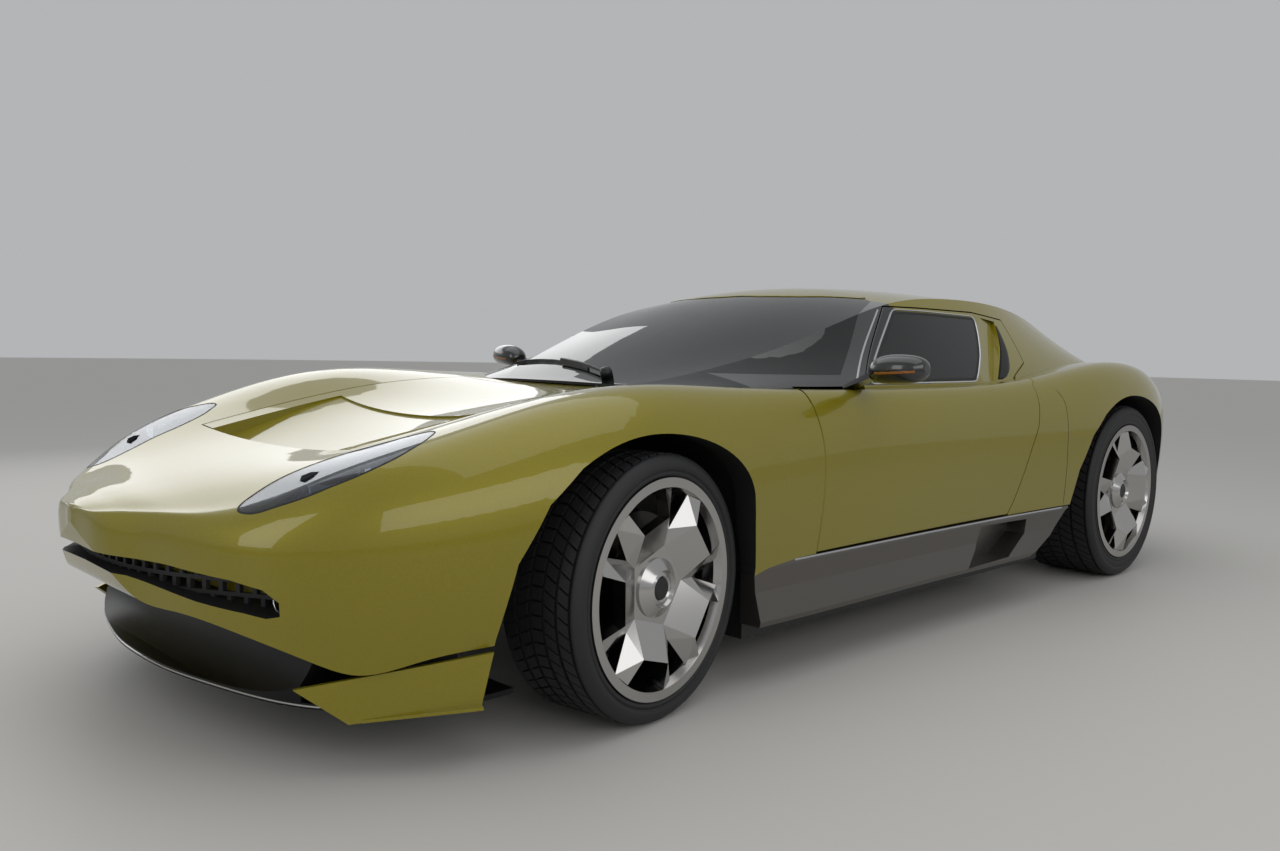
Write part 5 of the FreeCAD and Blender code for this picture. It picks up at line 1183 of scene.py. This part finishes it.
# Engine bay and lid
# The engine is one cast block at its real place. The lid's openings carry black moulded blades that lean
# back and shed rain behind the engine.
SLOT_FRONT_X, SLOT_PITCH, SLOT_LENGTH, SLOT_HALF, SLOT_COUNT = -0.880, 0.140, 0.084, 0.325, 7
BLADE_DROP, BLADE_DEEP, BLADE_THICKNESS, BLADE_GAP, BLADE_STEPS = 0.004, 0.022, 0.004, 0.010, 13
LID_CLEARANCE = 0.004
# sand-cast skin: coarse, grey and without clear reflections
cast_alloy = grained("sand_cast_iron", "#54534f", {"Metallic": 0.8, "Roughness": 0.55}, 2.2, 0.6, 0.8,
                     detail=4.0)
dress(cast_alloy, "engine_block")
blades = []
for index in range(SLOT_COUNT):
    front_x = SLOT_FRONT_X - index * SLOT_PITCH
    rear_x = front_x - SLOT_LENGTH
    points, faces = [], []
    for step in range(-BLADE_STEPS, BLADE_STEPS + 1):
        y = step / BLADE_STEPS * (SLOT_HALF - 0.001)
        front, rear = from_above(["engine_lid"], [(front_x + LID_CLEARANCE, y), (rear_x - LID_CLEARANCE, y)])
        front_z, rear_z = front[0].z - BLADE_DROP, rear[0].z - BLADE_DEEP
        for x, z in ((front_x - 0.0005, front_z), (rear_x + BLADE_GAP, rear_z)):
            points += [(x, y, z), (x, y, z - BLADE_THICKNESS)]
    for a in range(0, len(points) - 4, 4):
        b = a + 4
        faces += [(a, a + 2, b + 2, b), (a + 1, b + 1, b + 3, a + 3), (a, b, b + 1, a + 1),
                  (a + 2, a + 3, b + 3, b + 2)]
    faces += [(0, 1, 3, 2), tuple(len(points) - 4 + k for k in (0, 2, 3, 1))]
    blades.append(shape("blade", points, faces, satin_black))
louvres = joined("engine_lid_blades", blades)
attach(louvres, "engine_lid")

# Tail lamps and exhaust
# Each lamp is a moulded red lens over two glowing guides, set in the black mesh panel in a bright frame.
# The twin tail pipes are rolled from chromed steel tube and sooty inside.
LAMP_FACE_X, FRAME_SUNK, LAMP_CORNER, FRAME_SPACING, FRAME_RISE = -2.284, 0.024, 0.022, 0.01, 0.0016
LAMP_CORNERS = [(0.352, 0.560), (0.508, 0.560), (0.508, 0.650), (0.352, 0.650)]
GUIDE_INSETS = (0.014, 0.030)
PIPE_PLACES, PIPE_BORE = [(0.082, 0.385), (-0.082, 0.385)], 0.0495
# clear red plastic: deep in the middle, bright along its prisms
red_lens = ribbed("red_moulded_acrylic", "#8c0f12", {"Roughness": 0.08, "Transmission Weight": 0.35},
                  2.2, 0.25, 0.3)
dress(red_lens, "tail_lamps")
# a smooth red guide, brighter than the lens in front of it
guide_red = grained("bright_red_light_guide", "#c9201f", {"Roughness": 0.25}, 1.5, 0.2, 0.1)
rings = [(0.0, LAMP_FACE_X + FRAME_SUNK, 0.004, chromed)]
rings += [(inset, LAMP_FACE_X, 0.005, guide_red) for inset in GUIDE_INSETS]
frames = []
for side in (1, -1):
    for inset, face_x, thickness, material in rings:
        line = spaced(widened(rounded(LAMP_CORNERS, LAMP_CORNER), -inset), FRAME_SPACING, closed=True)
        spots = [(Vector((face_x, side * point.x, point.y)), Vector((-1, 0, 0))) for point in line]
        frames.append(rail("frame", spots, thickness, TRIM_SUNK, FRAME_RISE, material, closed=True))
lamp_frames = joined("tail_lamp_guides_and_frames", frames)
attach(lamp_frames, "root")
# plated tube: a clear mirror outside, and dry black soot in the bore
pipe_chrome, tree, output = new_material("chromed_steel_tube")
place = add(tree, "ShaderNodeTexCoord").outputs["Object"]
flat = add(tree, VECTOR, {"operation": "MULTIPLY"}, place, (0, 1, 1)).outputs[0]
sooty = 0.0
for pipe_y, pipe_z in PIPE_PLACES:
    reach = add(tree, VECTOR, {"operation": "DISTANCE"}, flat, (0, pipe_y, pipe_z)).outputs["Value"]
    inside = within(tree, [(reach, None, PIPE_BORE)])
    sooty = add(tree, MATH, {"operation": "MAXIMUM"}, sooty, inside).outputs[0]
chrome = add(tree, "ShaderNodeBsdfPrincipled", {
    "Base Color": linear("#d8d8d9"), "Metallic": 1.0, "Roughness": 0.08,
    "Normal": grain(tree, place, 6.0, 0.03, 0.1)})
soot = add(tree, "ShaderNodeBsdfPrincipled", {
    "Base Color": linear("#161514"), "Roughness": 0.9, "Normal": grain(tree, place, 1.5, 0.5, 0.3)})
finish = add(tree, "ShaderNodeMixShader", {}, sooty, chrome.outputs[0], soot.outputs[0])
tree.links.new(finish.outputs[0], output.inputs["Surface"])
dress(pipe_chrome, "exhaust_tips")

# Suspension and knuckles
# Forged and machined steel arms and uprights, blasted to a fine matt grey. Fasteners with washers hold
# the floor panel along its edges.
FLOOR_BOLT_X, FLOOR_BOLT_Y, FLOOR_BOLT_Z, FLOOR_BOLT_COUNT, FLOOR_BOLT_PITCH = -0.780, 0.765, 0.125, 12, 0.140
# radius and height of the washer and the hexagonal head
BOLT_PROFILE = [(0.0, 0.0), (0.011, 0.0), (0.011, -0.0015), (0.0065, -0.002), (0.0065, -0.006), (0.0, -0.006)]
# blasted steel: an even grey without mirror images
steel = grained("blasted_forged_steel", "#6d6d6e", {"Metallic": 1.0, "Roughness": 0.42}, 1.2, 0.3, 0.15)
dress(steel, "front_suspension", "rear_suspension", "knuckle_left", "knuckle_right")
bolt_rows = []
for side in (1, -1):
    bolt = lathe("floor_bolt", BOLT_PROFILE, 6, steel, smooth=False)
    set_down(bolt, Matrix.Rotation(math.radians(90), 4, "X"))
    row = repeated(bolt, FLOOR_BOLT_COUNT, 0.0, (FLOOR_BOLT_PITCH, 0, 0), steel)
    set_down(row, Matrix.Translation((FLOOR_BOLT_X, side * FLOOR_BOLT_Y, FLOOR_BOLT_Z)))
    bolt_rows.append(row)
floor_bolts = joined("floor_bolts", bolt_rows)
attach(floor_bolts, "root")
